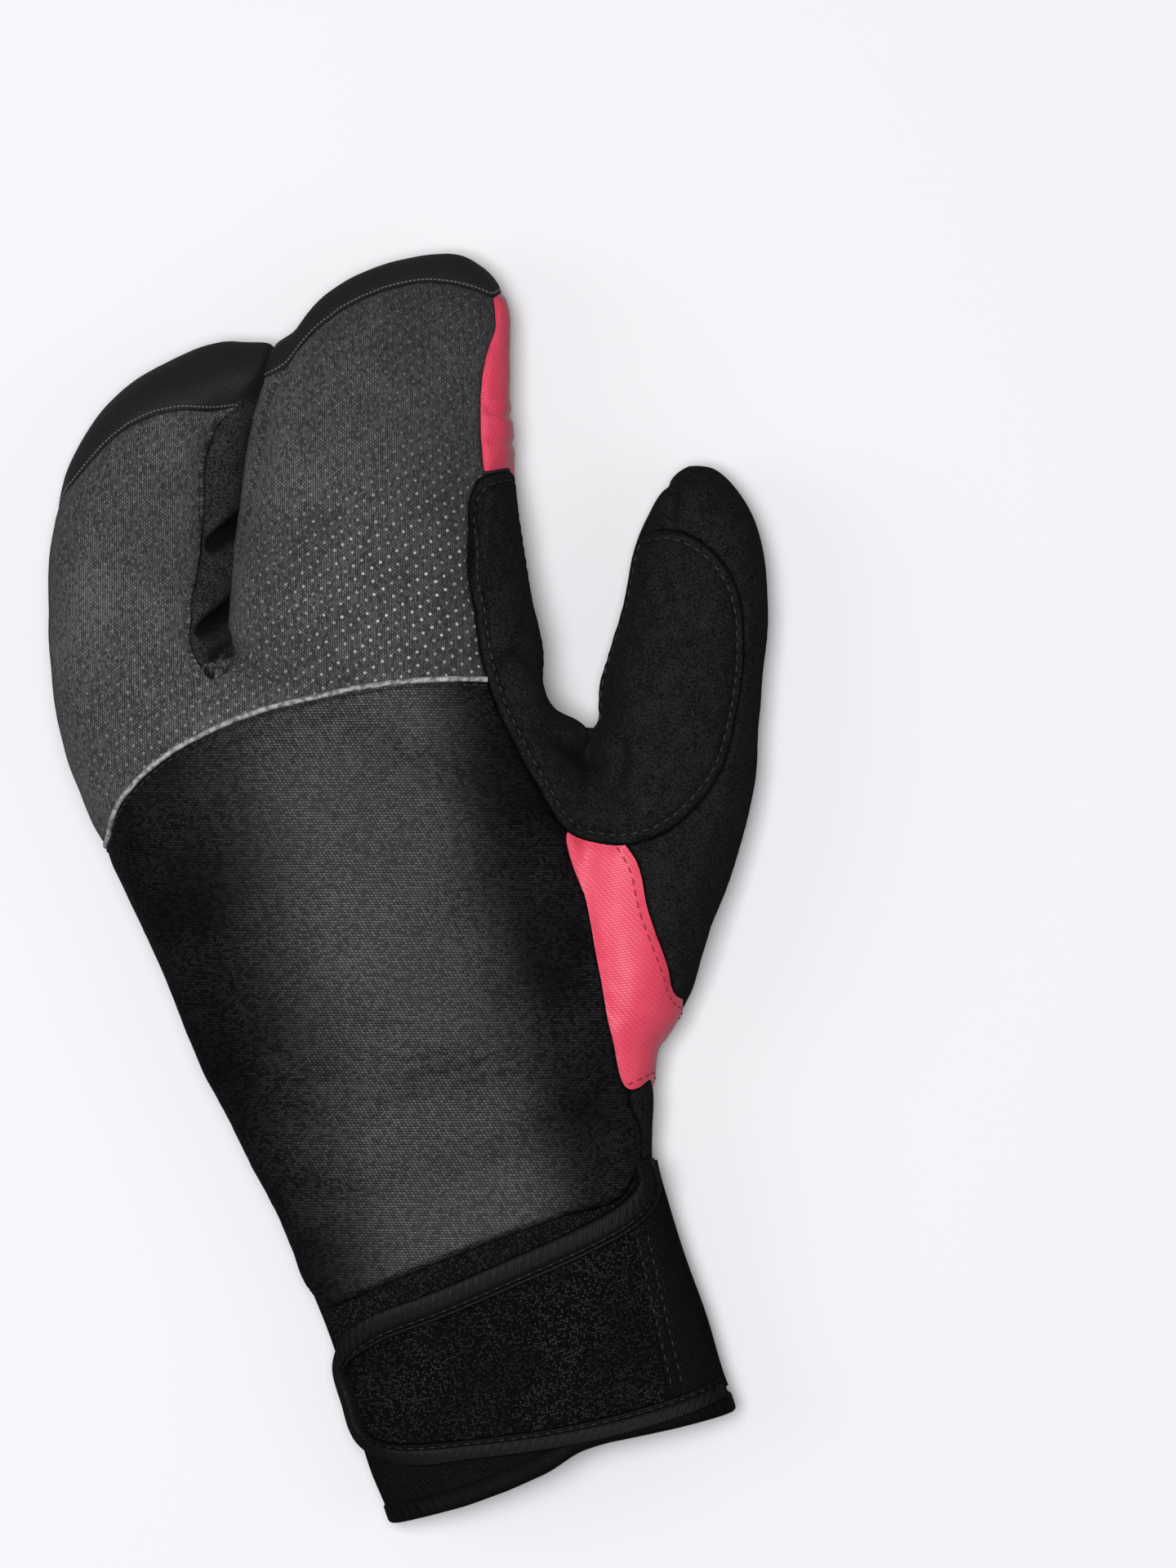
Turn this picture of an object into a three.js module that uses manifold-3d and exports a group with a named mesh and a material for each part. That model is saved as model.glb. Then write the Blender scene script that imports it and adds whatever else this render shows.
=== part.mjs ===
import * as THREE from 'three';
import * as BufferGeometryUtils from 'three/addons/utils/BufferGeometryUtils.js';
import Module from 'manifold-3d';

// A left lobster claw mitt lying palm down: index finger in one compartment, the other three in the next.
// +Y runs to the finger tips, +X to the thumb, +Z up from the surface that the palm rests on.

// Driving sizes, millimetres
const mittLength = 286; // hem to the tip of the index compartment
const palmWidth = 112; // across the knuckles
const handDepth = 42; // at the thickest part of the back
const thumbLength = 140; // from the heel of the hand along the thumb
const thumbAngle = 20; // degrees between the thumb and the fingers
const wall = 3; // shell with its padding
const seamGap = 0.3; // open line between two panels
const sideSeamHeight = 0.37 * handDepth; // where the back panels meet the palm panels
const pipingWidth = 1.6;
const pipingRise = 0.7;
const bindingHeight = 4.2; // tape round the hem
const strapThickness = 1.8;
const tapeWidth = 4.5;
const tapeThickness = 2.3;
const strapFoot = 0.2 * handDepth; // how far down the side of the cuff the strap and its tapes reach

const bodySides = 24;
const fingerSides = 16;
const roundness = 0.84; // 1 makes a section an ellipse, less makes it fuller
const waistShare = 0.44; // a section is widest below its middle, as a filled mitt lies
const reach = 90; // taller than anything that a cutting outline has to pass

// Across is a share of palmWidth from the middle of the wrist, along a share of mittLength from the hem,
// low and high are shares of handDepth above the floor. Outlines close in corners beyond the mitt.
const beyond = { left: -0.714, right: 0.600, palmRight: 0.420, tips: 1.100, hem: -0.200 };
const thumbRoot = { across: 0.402, along: 0.425 };
const gussetLean = 0.42; // sideways run of the slot for each step down
const gussetMiddle = 0.45; // height, a share of handDepth, at which the slot's outline is drawn
const gussetFoot = 0.13 * handDepth;
const gussetShoulder = 0.62 * handDepth;

const bodyRows = [
  { along: 0.014, left: -0.366, right: 0.384, low: 0.000, high: 0.620, skew: 0.095 },
  { along: 0.047, left: -0.382, right: 0.374, low: 0.000, high: 0.630, skew: 0.060 },
  { along: 0.103, left: -0.392, right: 0.366, low: 0.000, high: 0.640, skew: 0.020 },
  { along: 0.159, left: -0.402, right: 0.350, low: 0.000, high: 0.665 },
  { along: 0.201, left: -0.420, right: 0.342, low: 0.000, high: 0.700 },
  { along: 0.238, left: -0.440, right: 0.339, low: 0.024, high: 0.728 },
  { along: 0.262, left: -0.452, right: 0.346, low: 0.088, high: 0.738 },
  { along: 0.288, left: -0.470, right: 0.368, low: 0.018, high: 0.780 },
  { along: 0.337, left: -0.503, right: 0.402, low: -0.028, high: 0.847 },
  { along: 0.407, left: -0.543, right: 0.411, low: -0.042, high: 0.917 },
  { along: 0.495, left: -0.580, right: 0.406, low: -0.042, high: 0.972 },
  { along: 0.565, left: -0.616, right: 0.393, low: 0.000, high: 1.000 },
  { along: 0.628, left: -0.648, right: 0.366, low: 0.033, high: 0.986 },
  { along: 0.670, left: -0.656, right: 0.348, low: 0.056, high: 0.944 },
  { along: 0.698, left: -0.625, right: 0.304, low: 0.111, high: 0.861 },
  { along: 0.715, left: -0.554, right: 0.214, low: 0.222, high: 0.750 },
];

// Lean shifts the top of the slot side across and its foot back, a share of palmWidth. The rows with a
// raised low side are the folds across the palm side of the fingers, and the gathered wrist above.
const outerRows = [
  { along: 0.537, left: -0.536, right: -0.268, low: 0.167, high: 0.778 },
  { along: 0.600, left: -0.621, right: -0.232, low: 0.056, high: 0.944 },
  { along: 0.663, left: -0.661, right: -0.237, low: 0.020, high: 0.958, lean: 0.036 },
  { along: 0.685, left: -0.661, right: -0.239, low: 0.085, high: 0.940, lean: 0.058 },
  { along: 0.712, left: -0.659, right: -0.241, low: 0.011, high: 0.917, lean: 0.071 },
  { along: 0.742, left: -0.651, right: -0.239, low: -0.010, high: 0.880, lean: 0.071 },
  { along: 0.760, left: -0.645, right: -0.237, low: 0.062, high: 0.861, lean: 0.071 },
  { along: 0.780, left: -0.636, right: -0.232, low: -0.022, high: 0.842, lean: 0.069 },
  { along: 0.809, left: -0.621, right: -0.223, low: -0.042, high: 0.819, lean: 0.067 },
  { along: 0.851, left: -0.583, right: -0.201, low: -0.033, high: 0.792, lean: 0.062 },
  { along: 0.886, left: -0.540, right: -0.165, low: -0.017, high: 0.750, lean: 0.054 },
  { along: 0.914, left: -0.482, right: -0.113, low: 0.017, high: 0.690, lean: 0.045 },
  { along: 0.935, left: -0.420, right: -0.077, low: 0.055, high: 0.620, lean: 0.027 },
  { along: 0.949, left: -0.357, right: -0.076, low: 0.105, high: 0.530, lean: 0.013 },
  { along: 0.960, left: -0.272, right: -0.098, low: 0.170, high: 0.430 },
  { along: 0.966, left: -0.205, right: -0.142, low: 0.230, high: 0.345 },
];

const indexRows = [
  { along: 0.544, left: -0.089, right: 0.321, low: 0.167, high: 0.778 },
  { along: 0.607, left: -0.179, right: 0.375, low: 0.056, high: 0.958 },
  { along: 0.663, left: -0.214, right: 0.357, low: 0.015, high: 0.972, lean: 0.027 },
  { along: 0.685, left: -0.217, right: 0.356, low: 0.080, high: 0.960, lean: 0.046 },
  { along: 0.712, left: -0.219, right: 0.357, low: 0.000, high: 0.944, lean: 0.062 },
  { along: 0.748, left: -0.212, right: 0.363, low: -0.015, high: 0.913, lean: 0.062 },
  { along: 0.768, left: -0.208, right: 0.368, low: 0.058, high: 0.898, lean: 0.062 },
  { along: 0.788, left: -0.199, right: 0.373, low: -0.030, high: 0.886, lean: 0.062 },
  { along: 0.809, left: -0.188, right: 0.379, low: -0.042, high: 0.875, lean: 0.062 },
  { along: 0.851, left: -0.156, right: 0.398, low: -0.042, high: 0.847, lean: 0.054 },
  { along: 0.886, left: -0.121, right: 0.416, low: -0.033, high: 0.819, lean: 0.045 },
  { along: 0.918, left: -0.080, right: 0.433, low: -0.011, high: 0.778, lean: 0.036 },
  { along: 0.946, left: -0.036, right: 0.446, low: 0.028, high: 0.708, lean: 0.022 },
  { along: 0.967, left: 0.013, right: 0.430, low: 0.078, high: 0.611, lean: 0.013 },
  { along: 0.983, left: 0.062, right: 0.398, low: 0.139, high: 0.514 },
  { along: 0.994, left: 0.134, right: 0.362, low: 0.208, high: 0.411 },
  { along: 1.000, left: 0.214, right: 0.304, low: 0.264, high: 0.333 },
];

// The thumb's rows run along its own line: along is a share of thumbLength from its root.
const thumbRows = [
  { along: -0.229, left: -0.196, right: 0.045, low: 0.139, high: 0.611 },
  { along: -0.143, left: -0.223, right: 0.118, low: 0.028, high: 0.722 },
  { along: 0.000, left: -0.214, right: 0.161, low: -0.028, high: 0.792 },
  { along: 0.143, left: -0.183, right: 0.196, low: -0.042, high: 0.806 },
  { along: 0.257, left: -0.152, right: 0.210, low: -0.042, high: 0.792 },
  { along: 0.357, left: -0.134, right: 0.204, low: -0.042, high: 0.778 },
  { along: 0.464, left: -0.125, right: 0.200, low: -0.042, high: 0.750 },
  { along: 0.557, left: -0.113, right: 0.195, low: -0.042, high: 0.722 },
  { along: 0.643, left: -0.094, right: 0.176, low: -0.028, high: 0.667 },
  { along: 0.697, left: -0.070, right: 0.150, low: 0.014, high: 0.611 },
  { along: 0.738, left: -0.048, right: 0.114, low: 0.075, high: 0.530 },
  { along: 0.764, left: -0.024, right: 0.080, low: 0.150, high: 0.440 },
  { along: 0.779, left: 0.002, right: 0.048, low: 0.220, high: 0.355 },
];

// Seam lines seen from above, each point [across, along]
const outerCapSeam = [
  [-0.714, 0.841], [-0.607, 0.862], [-0.536, 0.879], [-0.446, 0.904], [-0.357, 0.918],
  [-0.268, 0.919], [-0.196, 0.911], [-0.107, 0.911], [-0.060, 0.911],
];
const outerCapPalmSeam = [
  [-0.714, 0.788], [-0.625, 0.802], [-0.580, 0.837], [-0.509, 0.879], [-0.393, 0.913],
  [-0.232, 0.925], [-0.125, 0.918], [-0.060, 0.911],
];
const indexCapSeam = [
  [-0.054, 0.930], [0.045, 0.960], [0.179, 0.977], [0.295, 0.976], [0.375, 0.963], [0.420, 0.951],
];
const accentDorsalEdge = [
  [0.420, 0.951], [0.411, 0.925], [0.379, 0.904], [0.353, 0.876], [0.332, 0.841], [0.321, 0.813],
];
const accentPalmEdge = [
  [0.339, 0.774], [0.327, 0.816], [0.317, 0.862], [0.290, 0.911], [0.232, 0.939], [0.161, 0.952],
  [0.071, 0.958], [-0.018, 0.951],
];
const saddleSeam = [
  [0.375, 0.811], [0.312, 0.809], [0.277, 0.795], [0.259, 0.767], [0.241, 0.722], [0.228, 0.656],
  [0.241, 0.614], [0.277, 0.561], [0.330, 0.512], [0.420, 0.495], [0.500, 0.496], [0.580, 0.509],
  [0.661, 0.537], [0.719, 0.580], [0.766, 0.635], [0.772, 0.680], [0.732, 0.715], [0.661, 0.736],
  [0.589, 0.738],
];
const knuckleSeam = [
  [-0.714, 0.544], [-0.625, 0.589], [-0.580, 0.615], [-0.509, 0.636], [-0.402, 0.654],
  [-0.268, 0.665], [-0.107, 0.667], [0.045, 0.663], [0.180, 0.654], [0.286, 0.644],
];
const backHem = [
  [0.308, 0.238], [0.268, 0.219], [0.134, 0.213], [-0.045, 0.205], [-0.223, 0.194], [-0.411, 0.180],
  [-0.536, 0.173],
];
const backSideEdge = [
  [0.286, 0.640], [0.400, 0.520], [0.380, 0.460], [0.380, 0.400], [0.380, 0.330], [0.360, 0.302],
  [0.330, 0.299], [0.327, 0.264],
];
const wristStripEdge = [
  [0.326, 0.516], [0.420, 0.498], [0.438, 0.484], [0.443, 0.439], [0.460, 0.386], [0.464, 0.366],
  [0.520, 0.348], [0.520, 0.299], [0.402, 0.306], [0.330, 0.299], [0.314, 0.344], [0.315, 0.400],
  [0.322, 0.460],
];
const wristWedgeEdge = [
  [0.188, 0.313], [0.286, 0.327], [0.393, 0.342], [0.482, 0.350], [0.554, 0.348], [0.554, 0.271],
  [0.402, 0.278], [0.286, 0.288],
];
const palmSeam = [
  [-0.714, 0.547], [-0.616, 0.565], [-0.500, 0.593], [-0.375, 0.617], [-0.179, 0.624],
  [-0.036, 0.627], [0.089, 0.635], [0.250, 0.635], [0.420, 0.635],
];
const thumbBaseSeam = [
  [0.420, 0.605], [0.357, 0.590], [0.259, 0.554], [0.179, 0.509], [0.134, 0.460], [0.116, 0.404],
  [0.134, 0.351], [0.188, 0.313],
];
const thumbMiddleSeam = [
  [0.705, 0.810], [0.661, 0.747], [0.634, 0.708], [0.598, 0.652], [0.545, 0.589], [0.473, 0.537],
  [0.393, 0.488], [0.295, 0.442], [0.214, 0.397], [0.170, 0.345], [0.161, 0.300],
];
const gussetEdge = [
  [-0.268, 0.701], [-0.302, 0.722], [-0.296, 0.756], [-0.262, 0.796], [-0.229, 0.840], [-0.196, 0.880],
  [-0.150, 0.901], [-0.110, 0.900], [-0.098, 0.876], [-0.120, 0.844], [-0.152, 0.802], [-0.175, 0.760],
  [-0.200, 0.716],
];
const strapRootEdge = [
  [0.262, 0.190], [0.290, 0.195], [0.330, 0.210], [0.450, 0.230], [0.450, 0.048], [0.262, 0.044],
];
const strapEdge = [
  [0.254, 0.189], [0.089, 0.178], [-0.089, 0.167], [-0.268, 0.156], [-0.366, 0.150], [-0.420, 0.135],
  [-0.445, 0.107], [-0.427, 0.079], [-0.375, 0.061], [-0.268, 0.051], [-0.089, 0.045],
  [0.089, 0.042], [0.254, 0.044],
];
const upperTapeLine = [
  [-0.357, 0.159], [-0.178, 0.166], [0.000, 0.178], [0.178, 0.193], [0.268, 0.203], [0.312, 0.214],
  [0.330, 0.236],
];
const lowerTapeLine = [
  [-0.384, 0.063], [-0.304, 0.052], [-0.180, 0.044], [0.000, 0.036], [0.180, 0.034], [0.384, 0.038],
];

const wasm = await Module();
wasm.setup();

function toSolid(geometry) {
  const plain = new THREE.BufferGeometry();
  plain.setAttribute('position', geometry.getAttribute('position').clone());
  if (geometry.index) plain.setIndex(geometry.index.clone());
  const merged = BufferGeometryUtils.mergeVertices(plain, 1e-4);
  const vertProperties = new Float32Array(merged.getAttribute('position').array);
  const triVerts = new Uint32Array(merged.index.array);
  return new wasm.Manifold(new wasm.Mesh({ numProp: 3, vertProperties, triVerts }));
}

function toGeometry(solid) {
  const mesh = solid.getMesh();
  const geometry = new THREE.BufferGeometry();
  geometry.setAttribute('position', new THREE.BufferAttribute(mesh.vertProperties, 3));
  geometry.setIndex(new THREE.BufferAttribute(mesh.triVerts, 1));
  return geometry;
}

// Cutting along a seam can leave a crumb beside a panel: only the body with most triangles is the panel
function withoutCrumbs(geometry) {
  const index = geometry.index.array;
  const owner = Array.from({ length: geometry.getAttribute('position').count }, (_, i) => i);
  const rootOf = (i) => {
    while (owner[i] !== i) i = owner[i];
    return i;
  };
  for (let i = 0; i < index.length; i += 3) {
    const root = rootOf(index[i]);
    owner[rootOf(index[i + 1])] = root;
    owner[rootOf(index[i + 2])] = root;
  }
  const bodies = new Map();
  for (let i = 0; i < index.length; i += 3) {
    const root = rootOf(index[i]);
    if (!bodies.has(root)) bodies.set(root, []);
    bodies.get(root).push(index[i], index[i + 1], index[i + 2]);
  }
  const largest = [...bodies.values()].reduce((a, b) => (b.length > a.length ? b : a));
  geometry.setIndex(largest);
  return geometry;
}

function joined(solids) {
  return solids.reduce((whole, solid) => whole.add(solid));
}

function place([across, along]) {
  return new THREE.Vector2(across * palmWidth, along * mittLength);
}

// A ring of points round one section
function sectionRing(row, sides, inset) {
  const left = row.left * palmWidth + inset;
  const right = row.right * palmWidth - inset;
  const low = row.low * handDepth + inset;
  const high = row.high * handDepth - inset;
  const middle = (left + right) / 2;
  const halfWidth = (right - left) / 2;
  const waist = low + waistShare * (high - low);
  const ring = [];
  for (let i = 0; i < sides; i++) {
    const turn = (2 * Math.PI * i) / sides;
    const sideways = Math.sign(Math.cos(turn)) * Math.abs(Math.cos(turn)) ** roundness;
    const upward = Math.sign(Math.sin(turn)) * Math.abs(Math.sin(turn)) ** roundness;
    const reachUp = upward > 0 ? high - waist : waist - low;
    const height = Math.max(waist + upward * reachUp, inset);
    ring.push({ x: middle + halfWidth * sideways, height, sideways, upward });
  }
  return ring;
}

// Skins the sections into one closed body. Inset above zero draws the hollow, below zero a layer outside.
function loft(rows, sides, inset, frame) {
  const positions = [];
  const indices = [];
  for (const row of rows) {
    for (const point of sectionRing(row, sides, inset)) {
      const { x, y } = frame(row, point);
      positions.push(x, y, point.height);
    }
  }
  for (let r = 0; r + 1 < rows.length; r++) {
    for (let i = 0; i < sides; i++) {
      const a = r * sides + i;
      const b = r * sides + ((i + 1) % sides);
      indices.push(a, a + sides, b, b, a + sides, b + sides);
    }
  }
  const last = (rows.length - 1) * sides;
  for (let i = 1; i + 1 < sides; i++) {
    indices.push(0, i, i + 1);
    indices.push(last, last + i + 1, last + i);
  }
  const geometry = new THREE.BufferGeometry();
  geometry.setAttribute('position', new THREE.Float32BufferAttribute(positions, 3));
  geometry.setIndex(indices);
  return toSolid(geometry);
}

// Pulls the blind end of a compartment back by the inset, so that its tip is as thick as its sides
function pulledBack(rows, inset, length) {
  const first = rows[0].along;
  const tip = rows[rows.length - 1].along;
  const keep = (tip - first - inset / length) / (tip - first);
  const roomShare = 2.6; // a row narrower than this many insets has no room for the hollow
  const isWide = (row) => (row.right - row.left) * palmWidth > roomShare * inset;
  const isDeep = (row) => (row.high - row.low) * handDepth > roomShare * inset;
  return rows
    .filter((row) => isWide(row) && isDeep(row))
    .map((row) => ({ ...row, along: first + (row.along - first) * keep }));
}

// The hollow runs out past the hem
function bodySkin(inset) {
  const rows = inset > 0 ? pulledBack(bodyRows, inset, mittLength) : bodyRows.map((row) => ({ ...row }));
  rows[0].along -= (2 * Math.max(inset, 0)) / mittLength;
  return loft(rows, bodySides, inset, (row, point) => ({
    x: point.x,
    y: row.along * mittLength + (row.skew ?? 0) * point.x,
  }));
}

// The slot side of a compartment leans, its far side stays upright
function fingerSkin(rows, slotSide, inset) {
  const kept = inset > 0 ? pulledBack(rows, inset, mittLength) : rows;
  return loft(kept, fingerSides, inset, (row, point) => {
    const nearSlot = (1 + slotSide * point.sideways) / 2;
    return {
      x: point.x - (row.lean ?? 0) * palmWidth * point.upward * nearSlot,
      y: row.along * mittLength,
    };
  });
}

function thumbSkin(inset) {
  const kept = inset > 0 ? pulledBack(thumbRows, inset, thumbLength) : thumbRows;
  const turn = THREE.MathUtils.degToRad(thumbAngle);
  const root = place([thumbRoot.across, thumbRoot.along]);
  return loft(kept, fingerSides, inset, (row, point) => {
    const along = row.along * thumbLength;
    return {
      x: root.x + Math.sin(turn) * along + Math.cos(turn) * point.x,
      y: root.y + Math.cos(turn) * along - Math.sin(turn) * point.x,
    };
  });
}

function mittSkin(inset) {
  return joined([
    bodySkin(inset),
    fingerSkin(outerRows, 1, inset),
    fingerSkin(indexRows, -1, inset),
    thumbSkin(inset),
  ]);
}

// Moves a closed outline outward by a distance
function grown(points, distance) {
  const outline = THREE.ShapeUtils.isClockWise(points) ? [...points].reverse() : points;
  return outline.map((point, i) => {
    const before = outline[(i + outline.length - 1) % outline.length];
    const after = outline[(i + 1) % outline.length];
    const inEdge = point.clone().sub(before).normalize();
    const outEdge = after.clone().sub(point).normalize();
    const bisector = inEdge.add(outEdge).normalize();
    const normal = new THREE.Vector2(bisector.y, -bisector.x);
    const spread = Math.max(0.5, Math.abs(normal.x * outEdge.y - normal.y * outEdge.x));
    return point.clone().addScaledVector(normal, distance / spread);
  });
}

// An upright block over an outline, between two heights
function block(points, from, to, growth = 0) {
  const outline = grown(points, growth);
  const depth = to - from + 2 * growth;
  const geometry = new THREE.ExtrudeGeometry(new THREE.Shape(outline), { depth, bevelEnabled: false });
  geometry.translate(0, 0, from - growth);
  return toSolid(geometry);
}

// A band of one width along a line
function ribbon(line, width) {
  const sideOf = (i) => {
    const before = line[Math.max(i - 1, 0)];
    const after = line[Math.min(i + 1, line.length - 1)];
    const step = after.clone().sub(before).normalize();
    return new THREE.Vector2(-step.y, step.x).multiplyScalar(width / 2);
  };
  const upper = line.map((point, i) => point.clone().add(sideOf(i)));
  const lower = line.map((point, i) => point.clone().sub(sideOf(i)));
  return [...upper, ...lower.reverse()];
}

// The block over the slot between the compartments leans as the slot does
function leaningBlock(points, from, to, growth = 0) {
  const outline = grown(points, growth);
  const depth = to - from + 2 * growth;
  const geometry = new THREE.ExtrudeGeometry(new THREE.Shape(outline), { depth, bevelEnabled: false });
  const middle = gussetMiddle * handDepth;
  geometry.translate(0, 0, from - growth - middle);
  geometry.applyMatrix4(new THREE.Matrix4().makeShear(0, 0, 0, 0, -gussetLean, 0));
  geometry.translate(0, 0, middle);
  return toSolid(geometry);
}

const outerSkin = mittSkin(0);
const hollow = mittSkin(wall);
let rest = outerSkin.subtract(hollow);

const colours = {
  knit: { color: 0x3c3d42, roughness: 0.9, metalness: 0 },
  twill: { color: 0x17171b, roughness: 0.55, metalness: 0 },
  cap: { color: 0x141416, roughness: 0.85, metalness: 0 },
  suede: { color: 0x1a1a1c, roughness: 0.95, metalness: 0 },
  satin: { color: 0xf54b64, roughness: 0.45, metalness: 0 },
  piping: { color: 0xb9bbc2, roughness: 0.5, metalness: 0 },
  cuff: { color: 0x1b1b1f, roughness: 0.85, metalness: 0 },
  tape: { color: 0x0e0e10, roughness: 0.5, metalness: 0 },
  loop: { color: 0x232326, roughness: 0.95, metalness: 0 },
};

const mitt = new THREE.Group();

function addPiece(name, solid, look) {
  const mesh = new THREE.Mesh(withoutCrumbs(toGeometry(solid)), new THREE.MeshStandardMaterial(look));
  mesh.name = name;
  mitt.add(mesh);
}

// Takes from what is left of the shell all that lies in the blocks, and leaves a seam gap round it
function takePanel(name, look, blocks) {
  const exact = joined(blocks.map((make) => make(0)));
  const withGap = joined(blocks.map((make) => make(seamGap)));
  addPiece(name, rest.intersect(exact), look);
  rest = rest.subtract(withGap);
}

const line = (shares) => shares.map(place);
const above = (shares) => (growth) => block(line(shares), sideSeamHeight, reach, growth);
const below = (shares) => (growth) => block(line(shares), -reach, sideSeamHeight, growth);

// Only what lies in one compartment's own skin, so that a cap leaves the other compartment alone
const outerCompartment = fingerSkin(outerRows, 1, -seamGap);
const indexCompartment = fingerSkin(indexRows, -1, -seamGap);
const within = (compartment, make) => (growth) => make(growth).intersect(compartment);

const outerTipCorners = [[-0.060, beyond.tips], [beyond.left, beyond.tips]];
const indexTipCorners = [[0.480, 0.963], [0.480, beyond.tips], [-0.120, beyond.tips], [-0.120, 0.922]];
const accentTipCorners = [[-0.120, 0.946], [-0.120, beyond.tips], [0.500, beyond.tips], [0.500, 0.774]];

// The gusset's seams lie on the backs of the compartments, and low down it holds both whole side walls
takePanel('finger_gusset', colours.suede, [
  (growth) => leaningBlock(line(gussetEdge), gussetShoulder, reach, growth),
  (growth) => leaningBlock(grown(line(gussetEdge), wall + seamGap), gussetFoot, gussetShoulder, growth),
]);
takePanel('cap_outer', colours.cap, [
  within(outerCompartment, above([...outerCapSeam, ...outerTipCorners])),
  within(outerCompartment, below([...outerCapPalmSeam, ...outerTipCorners])),
]);
takePanel('cap_index', colours.cap, [within(indexCompartment, above([...indexCapSeam, ...indexTipCorners]))]);
takePanel('index_accent', colours.satin, [
  within(indexCompartment, above([...accentDorsalEdge, [0.500, 0.813], [0.500, 0.966]])),
  within(indexCompartment, below([...accentPalmEdge, ...accentTipCorners])),
]);
takePanel('thumb_saddle', colours.suede, [above(saddleSeam)]);
takePanel('wrist_accent', colours.satin, [above(wristStripEdge), below(wristWedgeEdge)]);

// The piping stands a little proud of the skin, in its own groove between the two back panels
const pipingLine = ribbon(line(knuckleSeam), pipingWidth);
const pipingBlock = (growth) => block(pipingLine, sideSeamHeight, reach, growth);
const pipingLayer = mittSkin(-pipingRise).subtract(mittSkin(wall / 2));
const piping = pipingLayer.intersect(pipingBlock(0)).subtract(above(saddleSeam)(seamGap));
addPiece('knuckle_piping', piping, colours.piping);
rest = rest.subtract(pipingBlock(seamGap));

takePanel('finger_panel', colours.knit, [
  above([...knuckleSeam, [0.440, 0.700], [0.440, beyond.tips], [beyond.left, beyond.tips]]),
]);

// The hem runs up to the thumb side, and its tape has one height all round
const hemShare = bodyRows[0].along;
const hemSlope = bodyRows[0].skew;
const bindingTop = (across) => hemShare + (hemSlope * across * palmWidth + bindingHeight) / mittLength;
const bindingEdge = [
  [beyond.left, bindingTop(beyond.left)], [beyond.right, bindingTop(beyond.right)],
  [beyond.right, beyond.hem], [beyond.left, beyond.hem],
];
const cuffTop = 0.243;
const cuffPalmTop = 0.232;
const backHemEnd = [beyond.left, 0.168];
takePanel('cuff_binding', colours.tape, [(growth) => block(line(bindingEdge), -reach, reach, growth)]);
takePanel('cuff', colours.cuff, [
  above([
    ...backHem, backHemEnd, [beyond.left, beyond.hem], [beyond.right, beyond.hem],
    [beyond.right, cuffTop], [0.335, cuffTop],
  ]),
  below([
    [beyond.left, cuffPalmTop], [beyond.left, beyond.hem], [beyond.right, beyond.hem],
    [beyond.right, cuffPalmTop],
  ]),
]);
takePanel('back_panel', colours.twill, [above([...knuckleSeam, ...backSideEdge, ...backHem, backHemEnd])]);
takePanel('palm_fingers', colours.suede, [
  below([...palmSeam, [beyond.palmRight, beyond.tips], [beyond.left, beyond.tips]]),
]);

// The palm wraps round the thumb side of the wrist, under the satin piece
const wristWrapEdge = [
  [0.325, 0.303], [0.600, 0.303], [0.600, 0.200], [0.300, 0.200], [0.300, 0.236], [0.320, 0.260],
];
const heelCorners = [[0.300, 0.310], [0.540, 0.280], [0.600, 0.265], [0.600, 0.200], [beyond.left, 0.200]];
takePanel('palm_heel', colours.suede, [
  below([...palmSeam, ...thumbBaseSeam, ...heelCorners]),
  above(wristWrapEdge),
]);
const thumbInnerCorners = [[-0.100, 0.300], [-0.100, 0.900], [0.600, 0.900]];
takePanel('thumb_inner', colours.suede, [below([...thumbMiddleSeam, ...thumbInnerCorners])]);
addPiece('thumb_side', rest, colours.suede);

// The closure panel and its tapes lie on the cuff
const onCuff = (thickness) => bodySkin(-(seamGap + thickness)).subtract(bodySkin(-seamGap));
const onCuffBlock = (points) => (growth) => block(points, strapFoot, reach, growth);
const strapBlock = onCuffBlock(line(strapEdge));
const strapRootBlock = onCuffBlock(line(strapRootEdge));
addPiece('strap', onCuff(strapThickness).intersect(strapBlock(0)), colours.loop);
const tapes = [['strap_tape_upper', upperTapeLine], ['strap_tape_lower', lowerTapeLine]];
let strapRoot = onCuff(strapThickness).intersect(strapRootBlock(0)).subtract(strapBlock(seamGap));
for (const [name, tapeLine] of tapes) {
  const tapeBlock = onCuffBlock(ribbon(line(tapeLine), tapeWidth));
  const tape = onCuff(tapeThickness).intersect(tapeBlock(0)).subtract(strapBlock(seamGap));
  addPiece(name, tape, colours.tape);
  strapRoot = strapRoot.subtract(tapeBlock(seamGap));
}
addPiece('strap_root', strapRoot, colours.cuff);

const box = new THREE.Box3().setFromObject(mitt);
mitt.position.set(-(box.min.x + box.max.x) / 2, -(box.min.y + box.max.y) / 2, 0);

export default mitt;
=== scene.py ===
import bpy
import bmesh
import math
import numpy as np
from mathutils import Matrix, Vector, noise
from mathutils.bvhtree import BVHTree
from mathutils.kdtree import KDTree


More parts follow.
